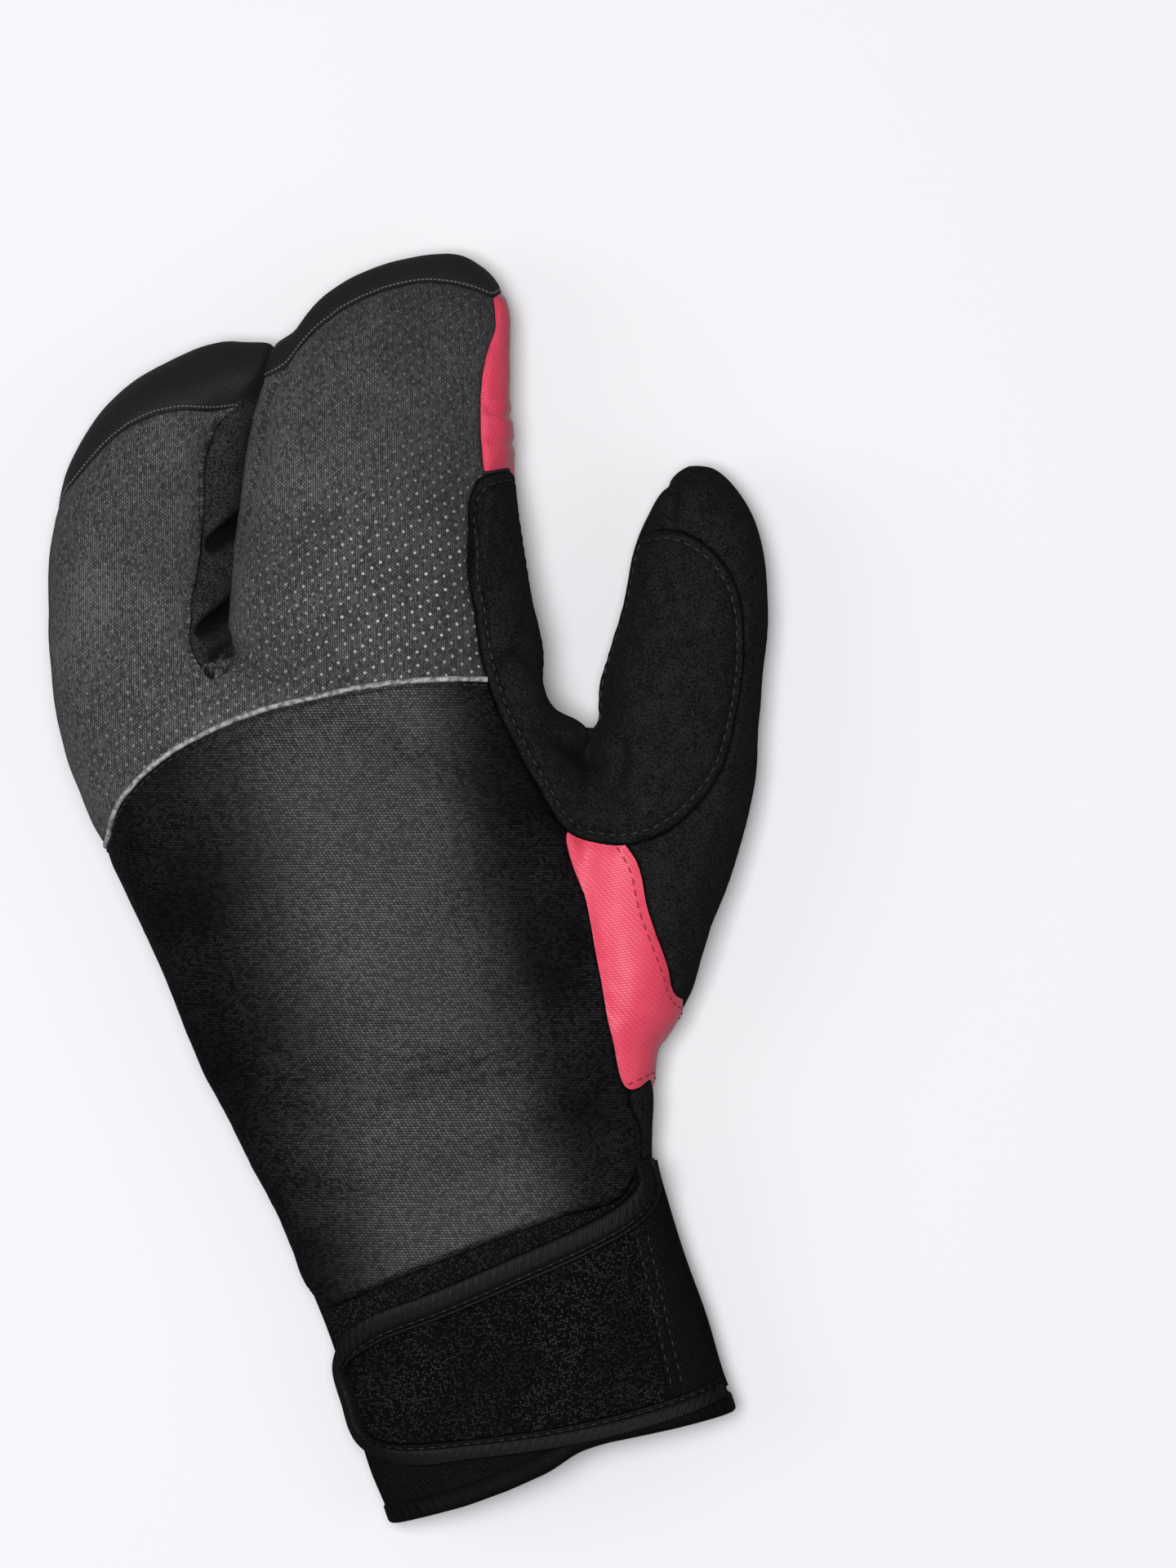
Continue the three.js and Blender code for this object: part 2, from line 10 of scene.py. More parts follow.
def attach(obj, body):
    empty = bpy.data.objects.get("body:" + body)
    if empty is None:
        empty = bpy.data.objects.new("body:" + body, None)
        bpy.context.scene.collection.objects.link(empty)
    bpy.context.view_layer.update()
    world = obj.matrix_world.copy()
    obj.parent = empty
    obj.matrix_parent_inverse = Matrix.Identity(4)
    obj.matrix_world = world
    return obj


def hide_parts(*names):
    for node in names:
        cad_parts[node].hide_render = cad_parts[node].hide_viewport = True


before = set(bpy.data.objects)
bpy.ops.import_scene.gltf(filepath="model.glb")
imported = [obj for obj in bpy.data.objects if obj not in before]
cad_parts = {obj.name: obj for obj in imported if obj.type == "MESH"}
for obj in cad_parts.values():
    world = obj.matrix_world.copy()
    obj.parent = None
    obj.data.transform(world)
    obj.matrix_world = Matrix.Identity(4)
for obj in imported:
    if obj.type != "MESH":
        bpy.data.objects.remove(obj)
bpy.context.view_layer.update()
bpy.ops.object.select_all(action="DESELECT")

mm = 0.001

# The mitt lies palm down, +Y to the finger tips, +X to the thumb. The section tables give shares:
# across of the palm's width, along of the mitt's length, low and high of its depth above the floor.
mitt = {
    "length": 286 * mm,
    "palm": 112 * mm,
    "depth": 42 * mm,
    "thumb": 140 * mm,
    "thumbTurn": math.radians(20),
    "thumbRoot": (0.402, 0.425),
    "wrist": (-10.15 * mm, -143.05 * mm),  # middle of the wrist at the hem
    "roundness": 0.84,
    "waist": 0.44,
    "sideSeam": 0.37,  # height of the side seam
    "slotLean": 0.42,
    "slotMiddle": 0.45,
    "slotFoot": 0.30,
    "slotShoulder": 0.62,
    "sides": 112,
    "voxel": 0.8 * mm,
    "wall": 2.0 * mm,
    "seamGap": 0.09 * mm,
}

# along, left, right, low, high, and the last column is the hem's slope or the lean of the slot side
bodyRows = [
    (-0.030, -0.366, 0.384, 0.000, 0.620, 0.095), (0.014, -0.366, 0.384, 0.000, 0.620, 0.095),
    (0.047, -0.382, 0.374, 0.000, 0.630, 0.060), (0.103, -0.392, 0.366, 0.000, 0.640, 0.020),
    (0.159, -0.402, 0.350, 0.000, 0.665, 0), (0.201, -0.420, 0.342, 0.000, 0.700, 0),
    (0.238, -0.440, 0.339, 0.024, 0.728, 0), (0.262, -0.452, 0.346, 0.070, 0.738, 0),
    (0.288, -0.470, 0.368, 0.018, 0.780, 0), (0.337, -0.503, 0.402, -0.028, 0.847, 0),
    (0.407, -0.543, 0.411, -0.042, 0.917, 0), (0.495, -0.580, 0.406, -0.042, 0.972, 0),
    (0.565, -0.616, 0.393, 0.000, 1.000, 0), (0.628, -0.648, 0.366, 0.033, 0.986, 0),
    (0.670, -0.656, 0.348, 0.056, 0.944, 0), (0.698, -0.625, 0.304, 0.111, 0.861, 0),
    (0.715, -0.554, 0.214, 0.222, 0.750, 0),
]
outerRows = [
    (0.537, -0.536, -0.268, 0.167, 0.778, 0), (0.600, -0.621, -0.232, 0.056, 0.944, 0),
    (0.663, -0.661, -0.237, 0.020, 0.958, 0.036), (0.685, -0.661, -0.239, 0.085, 0.940, 0.058),
    (0.712, -0.659, -0.241, 0.011, 0.917, 0.071), (0.742, -0.651, -0.239, -0.010, 0.880, 0.071),
    (0.760, -0.645, -0.237, 0.062, 0.861, 0.071), (0.780, -0.636, -0.232, -0.022, 0.842, 0.069),
    (0.809, -0.621, -0.223, -0.042, 0.819, 0.067), (0.851, -0.583, -0.201, -0.033, 0.792, 0.062),
    (0.886, -0.540, -0.165, -0.017, 0.750, 0.054), (0.914, -0.482, -0.113, 0.017, 0.690, 0.045),
    (0.935, -0.420, -0.077, 0.055, 0.620, 0.027), (0.949, -0.357, -0.076, 0.105, 0.530, 0.013),
    (0.960, -0.272, -0.098, 0.170, 0.430, 0), (0.966, -0.205, -0.142, 0.230, 0.345, 0),
]
indexRows = [
    (0.544, -0.089, 0.321, 0.167, 0.778, 0), (0.607, -0.179, 0.375, 0.056, 0.958, 0),
    (0.663, -0.214, 0.357, 0.015, 0.972, 0.027), (0.685, -0.217, 0.356, 0.080, 0.960, 0.046),
    (0.712, -0.219, 0.357, 0.000, 0.944, 0.062), (0.748, -0.212, 0.363, -0.015, 0.913, 0.062),
    (0.768, -0.208, 0.368, 0.058, 0.898, 0.062), (0.788, -0.199, 0.373, -0.030, 0.886, 0.062),
    (0.809, -0.188, 0.379, -0.042, 0.875, 0.062), (0.851, -0.156, 0.398, -0.042, 0.847, 0.054),
    (0.886, -0.121, 0.416, -0.033, 0.819, 0.045), (0.918, -0.080, 0.433, -0.011, 0.778, 0.036),
    (0.946, -0.036, 0.446, 0.028, 0.708, 0.022), (0.967, 0.013, 0.430, 0.078, 0.611, 0.013),
    (0.983, 0.062, 0.398, 0.139, 0.514, 0), (0.994, 0.134, 0.362, 0.208, 0.411, 0),
    (1.000, 0.214, 0.304, 0.264, 0.333, 0),
]
thumbRows = [
    (-0.229, -0.196, 0.045, 0.139, 0.611, 0), (-0.143, -0.223, 0.118, 0.028, 0.722, 0),
    (0.000, -0.214, 0.161, -0.028, 0.792, 0), (0.143, -0.183, 0.196, -0.042, 0.806, 0),
    (0.257, -0.152, 0.210, -0.042, 0.792, 0), (0.357, -0.134, 0.204, -0.042, 0.778, 0),
    (0.464, -0.125, 0.200, -0.042, 0.750, 0), (0.557, -0.113, 0.195, -0.042, 0.722, 0),
    (0.643, -0.094, 0.176, -0.028, 0.667, 0), (0.697, -0.070, 0.150, 0.014, 0.611, 0),
    (0.738, -0.048, 0.114, 0.075, 0.530, 0), (0.764, -0.024, 0.080, 0.150, 0.440, 0),
    (0.779, 0.002, 0.048, 0.220, 0.355, 0),
]

# Seam lines seen from above, each point across and along
seams = {
    "outerCap": [(-0.714, 0.841), (-0.607, 0.862), (-0.536, 0.879), (-0.446, 0.904),
                 (-0.357, 0.918), (-0.268, 0.919), (-0.196, 0.911), (-0.107, 0.911), (-0.060, 0.911)],
    "outerCapPalm": [(-0.714, 0.788), (-0.625, 0.802), (-0.580, 0.837), (-0.509, 0.879),
                     (-0.393, 0.913), (-0.232, 0.925), (-0.125, 0.918), (-0.060, 0.911)],
    "indexCap": [(-0.054, 0.930), (0.045, 0.960), (0.179, 0.977), (0.295, 0.976), (0.375, 0.963),
                 (0.420, 0.951)],
    "accentBack": [(0.420, 0.951), (0.411, 0.925), (0.379, 0.904), (0.353, 0.876),
                   (0.332, 0.841), (0.321, 0.813)],
    "accentPalm": [(0.339, 0.774), (0.327, 0.816), (0.317, 0.862), (0.290, 0.911),
                   (0.232, 0.939), (0.161, 0.952), (0.071, 0.958), (-0.018, 0.951)],
    "saddle": [(0.375, 0.811), (0.312, 0.809), (0.277, 0.795), (0.259, 0.767), (0.241, 0.722),
               (0.228, 0.656), (0.241, 0.614), (0.277, 0.561), (0.330, 0.512), (0.420, 0.495),
               (0.500, 0.496), (0.580, 0.509), (0.661, 0.537), (0.719, 0.580), (0.766, 0.635),
               (0.772, 0.680), (0.732, 0.715), (0.661, 0.736), (0.589, 0.738)],
    "knuckle": [(-0.714, 0.544), (-0.625, 0.589), (-0.580, 0.615), (-0.509, 0.636),
                (-0.402, 0.654), (-0.268, 0.665), (-0.107, 0.667), (0.045, 0.663),
                (0.180, 0.654), (0.286, 0.644)],
    "backHem": [(0.308, 0.238), (0.268, 0.219), (0.134, 0.213), (-0.045, 0.205),
                (-0.223, 0.194), (-0.411, 0.180), (-0.536, 0.173), (-0.714, 0.168)],
    "backSide": [(0.286, 0.640), (0.400, 0.520), (0.380, 0.460), (0.380, 0.400), (0.380, 0.330),
                 (0.360, 0.302), (0.330, 0.299), (0.327, 0.264)],
    "wristStrip": [(0.326, 0.516), (0.420, 0.498), (0.438, 0.484), (0.443, 0.439), (0.460, 0.386),
                   (0.464, 0.366), (0.520, 0.348), (0.520, 0.299), (0.402, 0.306), (0.330, 0.299),
                   (0.314, 0.344), (0.315, 0.400), (0.322, 0.460)],
    "wristWedge": [(0.188, 0.313), (0.286, 0.327), (0.393, 0.342), (0.482, 0.350), (0.554, 0.348),
                   (0.554, 0.302), (0.402, 0.294), (0.286, 0.290)],
    "palm": [(-0.714, 0.547), (-0.616, 0.565), (-0.500, 0.593), (-0.375, 0.617), (-0.179, 0.624),
             (-0.036, 0.627), (0.089, 0.635), (0.250, 0.635), (0.420, 0.635)],
    "thumbBase": [(0.420, 0.605), (0.357, 0.590), (0.259, 0.554), (0.179, 0.509), (0.134, 0.460),
                  (0.116, 0.404), (0.134, 0.351), (0.188, 0.313)],
    "thumbMiddle": [(0.705, 0.810), (0.661, 0.747), (0.634, 0.708), (0.598, 0.652), (0.545, 0.589),
                    (0.473, 0.537), (0.393, 0.488), (0.295, 0.442), (0.214, 0.397), (0.170, 0.345),
                    (0.161, 0.300)],
    "gusset": [(-0.256, 0.701), (-0.288, 0.720), (-0.284, 0.756), (-0.263, 0.796), (-0.236, 0.840),
               (-0.200, 0.880), (-0.150, 0.901), (-0.110, 0.900), (-0.098, 0.876), (-0.130, 0.844),
               (-0.176, 0.802), (-0.206, 0.760), (-0.222, 0.722), (-0.238, 0.706)],
    "wristWrap": [(0.325, 0.303), (0.600, 0.303), (0.600, 0.200), (0.300, 0.200), (0.300, 0.236),
                  (0.320, 0.260)],
}


def place(across, along):
    return (mitt["wrist"][0] + across * mitt["palm"], mitt["wrist"][1] + along * mitt["length"])


def curveThrough(points, step=1.5 * mm):
    points = np.asarray(points, float)
    travel = np.concatenate([[0], np.cumsum(np.linalg.norm(np.diff(points, axis=0), axis=1))])
    at = np.linspace(0, travel[-1], max(int(travel[-1] / step), 2) + 1)
    return np.stack([smoothValues(travel, points[:, c], at) for c in range(points.shape[1])], axis=1)


def smoothValues(x, y, at):
    slope = np.gradient(y, x)
    i = np.clip(np.searchsorted(x, at, side="right") - 1, 0, len(x) - 2)
    h = x[i + 1] - x[i]
    t = (at - x[i]) / h
    return ((2 * t**3 - 3 * t**2 + 1) * y[i] + (t**3 - 2 * t**2 + t) * h * slope[i]
            + (3 * t**2 - 2 * t**3) * y[i + 1] + (t**3 - t**2) * h * slope[i + 1])


def outline(name, corners=()):
    line = curveThrough([place(*point) for point in seams[name]])
    if not corners:
        return line
    return np.vstack([line, [place(*point) for point in corners]])


def closedCurve(name, step=1.5 * mm):
    points = np.array([place(*point) for point in seams[name]])
    around = np.vstack([points[-2:], points, points[:3]])
    travel = np.concatenate([[0], np.cumsum(np.linalg.norm(np.diff(around, axis=0), axis=1))])
    first, last = travel[2], travel[2 + len(points)]
    at = np.linspace(first, last, int((last - first) / step), endpoint=False)
    return np.stack([smoothValues(travel, around[:, c], at) for c in range(2)], axis=1)


def insideBy(points, polygon):
    # Distance to a closed outline in plan, above zero inside it
    low = polygon.min(axis=0) - 6 * mm
    high = polygon.max(axis=0) + 6 * mm
    near = np.where(np.all((points > low) & (points < high), axis=1))[0]
    result = np.full(len(points), -6 * mm)
    a = polygon
    b = np.roll(polygon, -1, axis=0)
    edge = b - a
    squared = np.maximum((edge**2).sum(axis=1), 1e-14)
    for part in np.array_split(near, max(1, len(near) // 12000)):
        p = points[part]
        away = p[:, None, :] - a[None]
        t = np.clip((away * edge[None]).sum(axis=2) / squared, 0, 1)
        gap = away - t[..., None] * edge[None]
        distance = np.sqrt((gap**2).sum(axis=2)).min(axis=1)
        crosses = (a[None, :, 1] > p[:, None, 1]) != (b[None, :, 1] > p[:, None, 1])
        height = np.where(np.abs(edge[:, 1]) < 1e-12, 1e-12, edge[:, 1])
        side = a[None, :, 0] + (p[:, None, 1] - a[None, :, 1]) * edge[None, :, 0] / height[None]
        inside = (crosses & (p[:, None, 0] < side)).sum(axis=1) % 2 == 1
        result[part] = np.where(inside, distance, -distance)
    return result


def smoothStep(low, high, value):
    t = np.clip((value - low) / (high - low), 0, 1)
    return t * t * (3 - 2 * t)


def sectionRing(left, right, low, high, sides, offset=0):
    turn = np.linspace(0, 2 * math.pi, sides, endpoint=False)
    sideways = np.sign(np.cos(turn)) * np.abs(np.cos(turn))**mitt["roundness"]
    upward = np.sign(np.sin(turn)) * np.abs(np.sin(turn))**mitt["roundness"]
    left, right = left * mitt["palm"] - offset, right * mitt["palm"] + offset
    low, high = low * mitt["depth"] - offset, high * mitt["depth"] + offset
    waist = low + mitt["waist"] * (high - low)
    height = waist + upward * np.where(upward > 0, high - waist, waist - low)
    return (left + right) / 2 + (right - left) / 2 * sideways, height, sideways, upward


def loftPoints(rows, kind, length, step=1.5 * mm, sides=None, offset=0):
    table = np.array(rows, float)
    size = np.array([length, mitt["palm"], mitt["palm"], mitt["depth"], mitt["depth"]])
    travel = np.linalg.norm(np.diff(table[:, :5] * size, axis=0), axis=1)
    travel = np.concatenate([[0], np.cumsum(travel)])
    at = np.linspace(0, travel[-1], int(travel[-1] / step) + 1)
    fine = np.stack([smoothValues(travel, table[:, c], at) for c in range(6)], axis=1)
    rings = []
    for along, left, right, low, high, lean in fine:
        x, z, sideways, upward = sectionRing(left, right, low, high, sides or mitt["sides"], offset)
        y = np.full_like(x, along * length)
        if kind == "body":
            y += lean * x
        elif kind == "outer":
            x = x - lean * mitt["palm"] * upward * (1 + sideways) / 2
        elif kind == "index":
            x = x - lean * mitt["palm"] * upward * (1 - sideways) / 2
        if kind == "thumb":
            root = np.array(place(*mitt["thumbRoot"]))
            s, c = math.sin(mitt["thumbTurn"]), math.cos(mitt["thumbTurn"])
            x, y = root[0] + s * y + c * x, root[1] + c * y - s * x
        else:
            x, y = x + mitt["wrist"][0], y + mitt["wrist"][1]
        rings.append(np.stack([x, y, np.maximum(z, -0.6 * mm)], axis=1))
    return np.array(rings)


def meshObject(name, points, faces):
    mesh = bpy.data.meshes.new(name)
    mesh.from_pydata([tuple(p) for p in points], [], [list(f) for f in faces])
    mesh.update()
    obj = bpy.data.objects.new(name, mesh)
    bpy.context.collection.objects.link(obj)
    return obj


def gridFaces(rings, sides, closed=True):
    faces = []
    for r in range(rings - 1):
        for i in range(sides if closed else sides - 1):
            j = (i + 1) % sides
            faces.append((r * sides + i, r * sides + j, (r + 1) * sides + j, (r + 1) * sides + i))
    return faces


def loftObject(name, rows, kind, length):
    rings = loftPoints(rows, kind, length)
    count, sides = rings.shape[:2]
    faces = gridFaces(count, sides)
    faces.append(tuple(range(sides))[::-1])
    faces.append(tuple(range((count - 1) * sides, count * sides)))
    return meshObject(name, rings.reshape(-1, 3), faces)


def applied(obj, kind, **values):
    bpy.context.view_layer.objects.active = obj
    modifier = obj.modifiers.new(kind.title(), kind)
    for key, value in values.items():
        setattr(modifier, key, value)
    bpy.ops.object.modifier_apply(modifier=modifier.name)


def pointsOf(obj):
    flat = np.empty(len(obj.data.vertices) * 3)
    obj.data.vertices.foreach_get("co", flat)
    return flat.reshape(-1, 3)


def setPoints(obj, points):
    obj.data.vertices.foreach_set("co", np.ascontiguousarray(points).ravel())
    obj.data.update()


def normalsOf(obj):
    flat = np.empty(len(obj.data.vertices) * 3)
    obj.data.vertex_normals.foreach_get("vector", flat)
    return flat.reshape(-1, 3)


def edgesOf(obj):
    flat = np.empty(len(obj.data.edges) * 2, np.int32)
    obj.data.edges.foreach_get("vertices", flat)
    return flat.reshape(-1, 2)


def relaxed(values, edges, times, share=0.5):
    count = len(values)
    degree = np.bincount(edges.ravel(), minlength=count).clip(1)
    values = values.copy()
    flat = values.ndim == 1
    for _ in range(times):
        columns = [values] if flat else [values[:, c] for c in range(values.shape[1])]
        means = []
        for column in columns:
            total = np.bincount(edges[:, 0], column[edges[:, 1]], count)
            total += np.bincount(edges[:, 1], column[edges[:, 0]], count)
            means.append(total / degree)
        mean = means[0] if flat else np.stack(means, axis=1)
        values += share * (mean - values)
    return values


def fieldNoise(points, size, seed=0.0):
    shift = Vector((seed, seed * 1.7, -seed))
    scale = 1 / size
    return np.array([noise.noise(Vector(p) * scale + shift) for p in points])


# Camera and light

view = {"distance": 1800 * mm, "height": 364.8 * mm, "middle": (32.4 * mm, 14.0 * mm, 15 * mm),
        "turn": math.radians(-13)}


def makeCamera():
    x, y, z = view["middle"]
    bpy.ops.object.camera_add(location=(x, y, z + view["distance"]), rotation=(0, 0, view["turn"]))
    camera = bpy.context.object
    camera.name = "camera"
    camera.data.sensor_width = 36
    camera.data.lens = 36 * view["distance"] / view["height"]
    camera.data.clip_start = 0.05
    bpy.context.scene.camera = camera


def makeStudio():
    lamps = {
        "topLight": {"at": (-0.16, 0.10, 2.30), "to": (0.0, 0.0, 0.0), "size": 0.85, "power": 44},
        "sideLight": {"at": (-1.05, 0.30, 0.80), "to": (0.0, 0.0, 0.0), "size": 0.7, "power": 2.0},
        "fillLight": {"at": (0.95, -0.45, 0.95), "to": (0.0, 0.0, 0.0), "size": 0.9, "power": 1.0},
    }
    for name, lamp in lamps.items():
        aim = Vector(lamp["to"]) - Vector(lamp["at"])
        turn = aim.to_track_quat("-Z", "Y").to_euler()
        bpy.ops.object.light_add(type="AREA", location=lamp["at"], rotation=turn)
        light = bpy.context.object
        light.name = name
        light.data.size = lamp["size"]
        light.data.energy = lamp["power"]
    world = bpy.data.worlds.new("studio")
    world.use_nodes = True
    world.node_tree.nodes["Background"].inputs["Color"].default_value = (0.95, 0.96, 1.0, 1)
    world.node_tree.nodes["Background"].inputs["Strength"].default_value = 0.09
    bpy.context.scene.world = world
    bpy.context.scene.view_settings.view_transform = "Standard"
    bpy.ops.mesh.primitive_plane_add(size=6, location=(0, 0, -0.2 * mm))
    floor = bpy.context.object
    floor.name = "floor"
    material = bpy.data.materials.new("paleFloor")
    material.use_nodes = True
    tree = material.node_tree
    shader = tree.nodes["Principled BSDF"]
    seen = tree.nodes.new("ShaderNodeLightPath").outputs["Is Camera Ray"]
    paper = tree.nodes.new("ShaderNodeMix")
    paper.data_type = "RGBA"
    paper.inputs["A"].default_value = (0.16, 0.16, 0.165, 1)  # little light comes back off the floor
    paper.inputs["B"].default_value = (0.955, 0.96, 0.985, 1)
    tree.links.new(seen, paper.inputs["Factor"])
    tree.links.new(paper.outputs["Result"], shader.inputs["Base Color"])
    shader.inputs["Roughness"].default_value = 0.9
    shader.inputs["Specular IOR Level"].default_value = 0.1
    floor.data.materials.append(material)


makeCamera()
makeStudio()
print("camera and light are ready")


# The whole skin in one piece: body, two finger compartments and thumb grown together

def makeSkin():
    body = loftObject("body", bodyRows, "body", mitt["length"])
    outer = loftObject("outer", outerRows, "outer", mitt["length"])
    index = loftObject("index", indexRows, "index", mitt["length"])
    thumb = loftObject("thumb", thumbRows, "thumb", mitt["thumb"])
    trees = [BVHTree.FromPolygons([tuple(v.co) for v in o.data.vertices],
                                  [tuple(p.vertices) for p in o.data.polygons])
             for o in (outer, index)]
    bpy.ops.object.select_all(action="DESELECT")
    for obj in (body, outer, index, thumb):
        obj.select_set(True)
    bpy.context.view_layer.objects.active = body
    bpy.ops.object.join()
    applied(body, "REMESH", mode="VOXEL", voxel_size=mitt["voxel"], adaptivity=0)
    setPoints(body, relaxed(pointsOf(body), edgesOf(body), 10))
    body.name = "skin"
    return body, trees


skin, compartments = makeSkin()
closedSkin = skin.copy()
closedSkin.data = skin.data.copy()
bpy.context.collection.objects.link(closedSkin)
print("skin has", len(skin.data.vertices), "points")


def nearerTo(points, mine, other):
    # Half the difference of the distances to two compartments, only worked out near them
    result = np.full(len(points), -6 * mm)
    close = points[:, 1] > place(0, 0.52)[1]
    for i in np.where(close)[0]:
        p = Vector(points[i])
        result[i] = (other.find_nearest(p)[3] - mine.find_nearest(p)[3]) / 2
    return result


def sideSeamRise(p):
    # Height above the side seam, which sinks towards the finger tips
    sink = 0.15 * smoothStep(place(0, 0.90)[1], place(0, 0.985)[1], p[:, 1])
    return p[:, 2] - (mitt["sideSeam"] - sink) * mitt["depth"]


def above(*args):
    line = outline(*args)
    return lambda p: np.minimum(insideBy(p[:, :2], line), sideSeamRise(p))


def below(*args):
    line = outline(*args)
    return lambda p: np.minimum(insideBy(p[:, :2], line), -sideSeamRise(p))


def bothSides(top, bottom, blend=4 * mm):
    # One outline on the back and another on the palm, run into each other at the side seam
    def field(p):
        share = smoothStep(-blend, blend, sideSeamRise(p))
        return share * insideBy(p[:, :2], top) + (1 - share) * insideBy(p[:, :2], bottom)
    return field


def corners(points):
    return np.array([place(*point) for point in points])


def hemLine(p):
    start = bodyRows[1]
    x = p[:, 0] - mitt["wrist"][0]
    return p[:, 1] - mitt["wrist"][1] - start[0] * mitt["length"] - start[5] * x


def gussetField(p):
    top = closedCurve("gusset")
    depth = mitt["depth"]
    x = p[:, 0] + mitt["slotLean"] * (p[:, 2] - mitt["slotMiddle"] * depth)
    grown = 3.4 * mm * smoothStep(0, 5 * mm, mitt["slotShoulder"] * depth - p[:, 2])
    grown *= smoothStep(place(0, 0.73)[1], place(0, 0.81)[1], p[:, 1])
    inside = insideBy(np.stack([x, p[:, 1]], axis=1), top) + grown
    return np.minimum(inside, p[:, 2] - mitt["slotFoot"] * depth)


outerTips = [(-0.060, 1.1), (-0.714, 1.1)]
indexTips = [(0.480, 0.963), (0.480, 1.1), (-0.120, 1.1), (-0.120, 0.922)]
capField = bothSides(outline("outerCap", outerTips), outline("outerCapPalm", outerTips))
accentField = bothSides(outline("accentBack", [(0.500, 0.813), (0.500, 0.966)]),
                        outline("accentPalm", [(-0.120, 0.946), (-0.120, 1.1), (0.500, 1.1), (0.500, 0.774)]))
cuffField = bothSides(outline("backHem", [(-0.714, -0.2), (0.600, -0.2), (0.600, 0.243), (0.335, 0.243)]),
                      corners([(-0.714, 0.232), (-0.714, -0.2), (0.600, -0.2), (0.600, 0.232)]))
heelCorners = [(0.300, 0.310), (0.540, 0.280), (0.600, 0.265), (0.600, 0.200), (-0.714, 0.200)]
heelField = bothSides(closedCurve("wristWrap"),
                      np.vstack([outline("palm"), outline("thumbBase"), corners(heelCorners)]))
thumbTips = [(-0.100, 0.300), (-0.100, 0.900), (0.600, 0.900)]
backLine = np.vstack([outline("knuckle"), outline("backSide"), outline("backHem")])
wristField = bothSides(closedCurve("wristStrip"), closedCurve("wristWedge"))

panelFields = [
    ("finger_gusset", gussetField, None),
    ("cap_outer", capField, 0),
    ("cap_index", above("indexCap", indexTips), 1),
    ("index_accent", accentField, 1),
    ("thumb_saddle", above("saddle"), None),
    ("wrist_accent", wristField, None),
    ("finger_panel", above("knuckle", [(0.440, 0.700), (0.440, 1.1), (-0.714, 1.1)]), None),
    ("cuff", cuffField, None),
    ("back_panel", lambda p: np.minimum(insideBy(p[:, :2], backLine), sideSeamRise(p)), None),
    ("palm_fingers", below("palm", [(0.420, 1.1), (-0.714, 1.1)]), None),
    ("palm_heel", heelField, None),
    ("thumb_inner", below("thumbMiddle", thumbTips), None),
]
rest = "thumb_side"


def cutAlong(bm, owner, onSeam, label, field):
    # Cuts the faces that no panel has taken yet along the zero line of a field
    bm.verts.index_update()
    bm.faces.index_update()
    bm.verts.ensure_lookup_table()
    points = np.array([v.co[:] for v in bm.verts])
    value = field(points)
    value[np.abs(value) < 1e-6] = 1e-6
    pairs = np.array([(e.verts[0].index, e.verts[1].index) for e in bm.edges])
    crossing = np.where((value[pairs[:, 0]] > 0) != (value[pairs[:, 1]] > 0))[0]
    bm.edges.ensure_lookup_table()
    edges = [bm.edges[i] for i in crossing]
    edges = [e for e in edges if any(f[owner] == 0 for f in e.link_faces)]
    values = {i: value[i] for i in range(len(value))}
    wish = {}
    for e in edges:
        a, b = e.verts
        t = values[a.index] / (values[a.index] - values[b.index])
        for vert, share, other in ((a, t, b), (b, 1 - t, a)):
            limit = 0.04 if vert[onSeam] else 0.3
            if share < limit and share < wish.get(vert, (1, None))[0]:
                wish[vert] = (share, None if vert[onSeam] else vert.co.lerp(other.co, share))
    zero = set()
    for vert, (share, spot) in wish.items():
        if spot is not None:
            vert.co = spot
        values[vert.index] = 0.0
        zero.add(vert)
    added = []
    for e in edges:
        a, b = e.verts
        va, vb = values[a.index], values[b.index]
        if va * vb < 0:
            _, vert = bmesh.utils.edge_split(e, a, va / (va - vb))
            zero.add(vert)
            added.append(vert)
    for vert in added:
        vert.index = -1
    sign = {}
    for vert in bm.verts:
        sign[vert] = 0 if vert in zero else (1 if values[vert.index] > 0 else -1)
    touched = {f for vert in zero for f in vert.link_faces if f[owner] == 0}
    # In the order of their numbers, so that every run gives the same mesh
    for face in sorted(touched, key=lambda f: f.index):
        on = [v for v in face.verts if v in zero]
        signs = {sign[v] for v in face.verts}
        if len(on) < 2 or not (1 in signs and -1 in signs):
            continue
        ring = list(face.verts)
        best = None
        for i, a in enumerate(on):
            for b in on[i + 1:]:
                gap = abs(ring.index(a) - ring.index(b))
                if gap in (1, len(ring) - 1):
                    continue
                low, high = sorted((ring.index(a), ring.index(b)))
                inner = sum(sign[v] for v in ring[low + 1:high])
                outer = sum(sign[v] for v in ring[high + 1:] + ring[:low])
                if best is None or abs(inner - outer) > best[0]:
                    best = (abs(inner - outer), a, b)
        if best:
            bmesh.utils.face_split(face, best[1], best[2])
    for face in bm.faces:
        if face[owner] == 0 and sum(sign[v] for v in face.verts) > 0:
            face[owner] = label
    for vert in zero:
        kinds = {f[owner] for f in vert.link_faces}
        if len(kinds) > 1:
            vert[onSeam] = 1


def cutPanels(obj, fields, first=1):
    bm = bmesh.new()
    bm.from_mesh(obj.data)
    owner = bm.faces.layers.int.new("panel")
    onSeam = bm.verts.layers.int.new("onSeam")
    for label, field in enumerate(fields, first):
        cutAlong(bm, owner, onSeam, label, field)
    return bm, owner


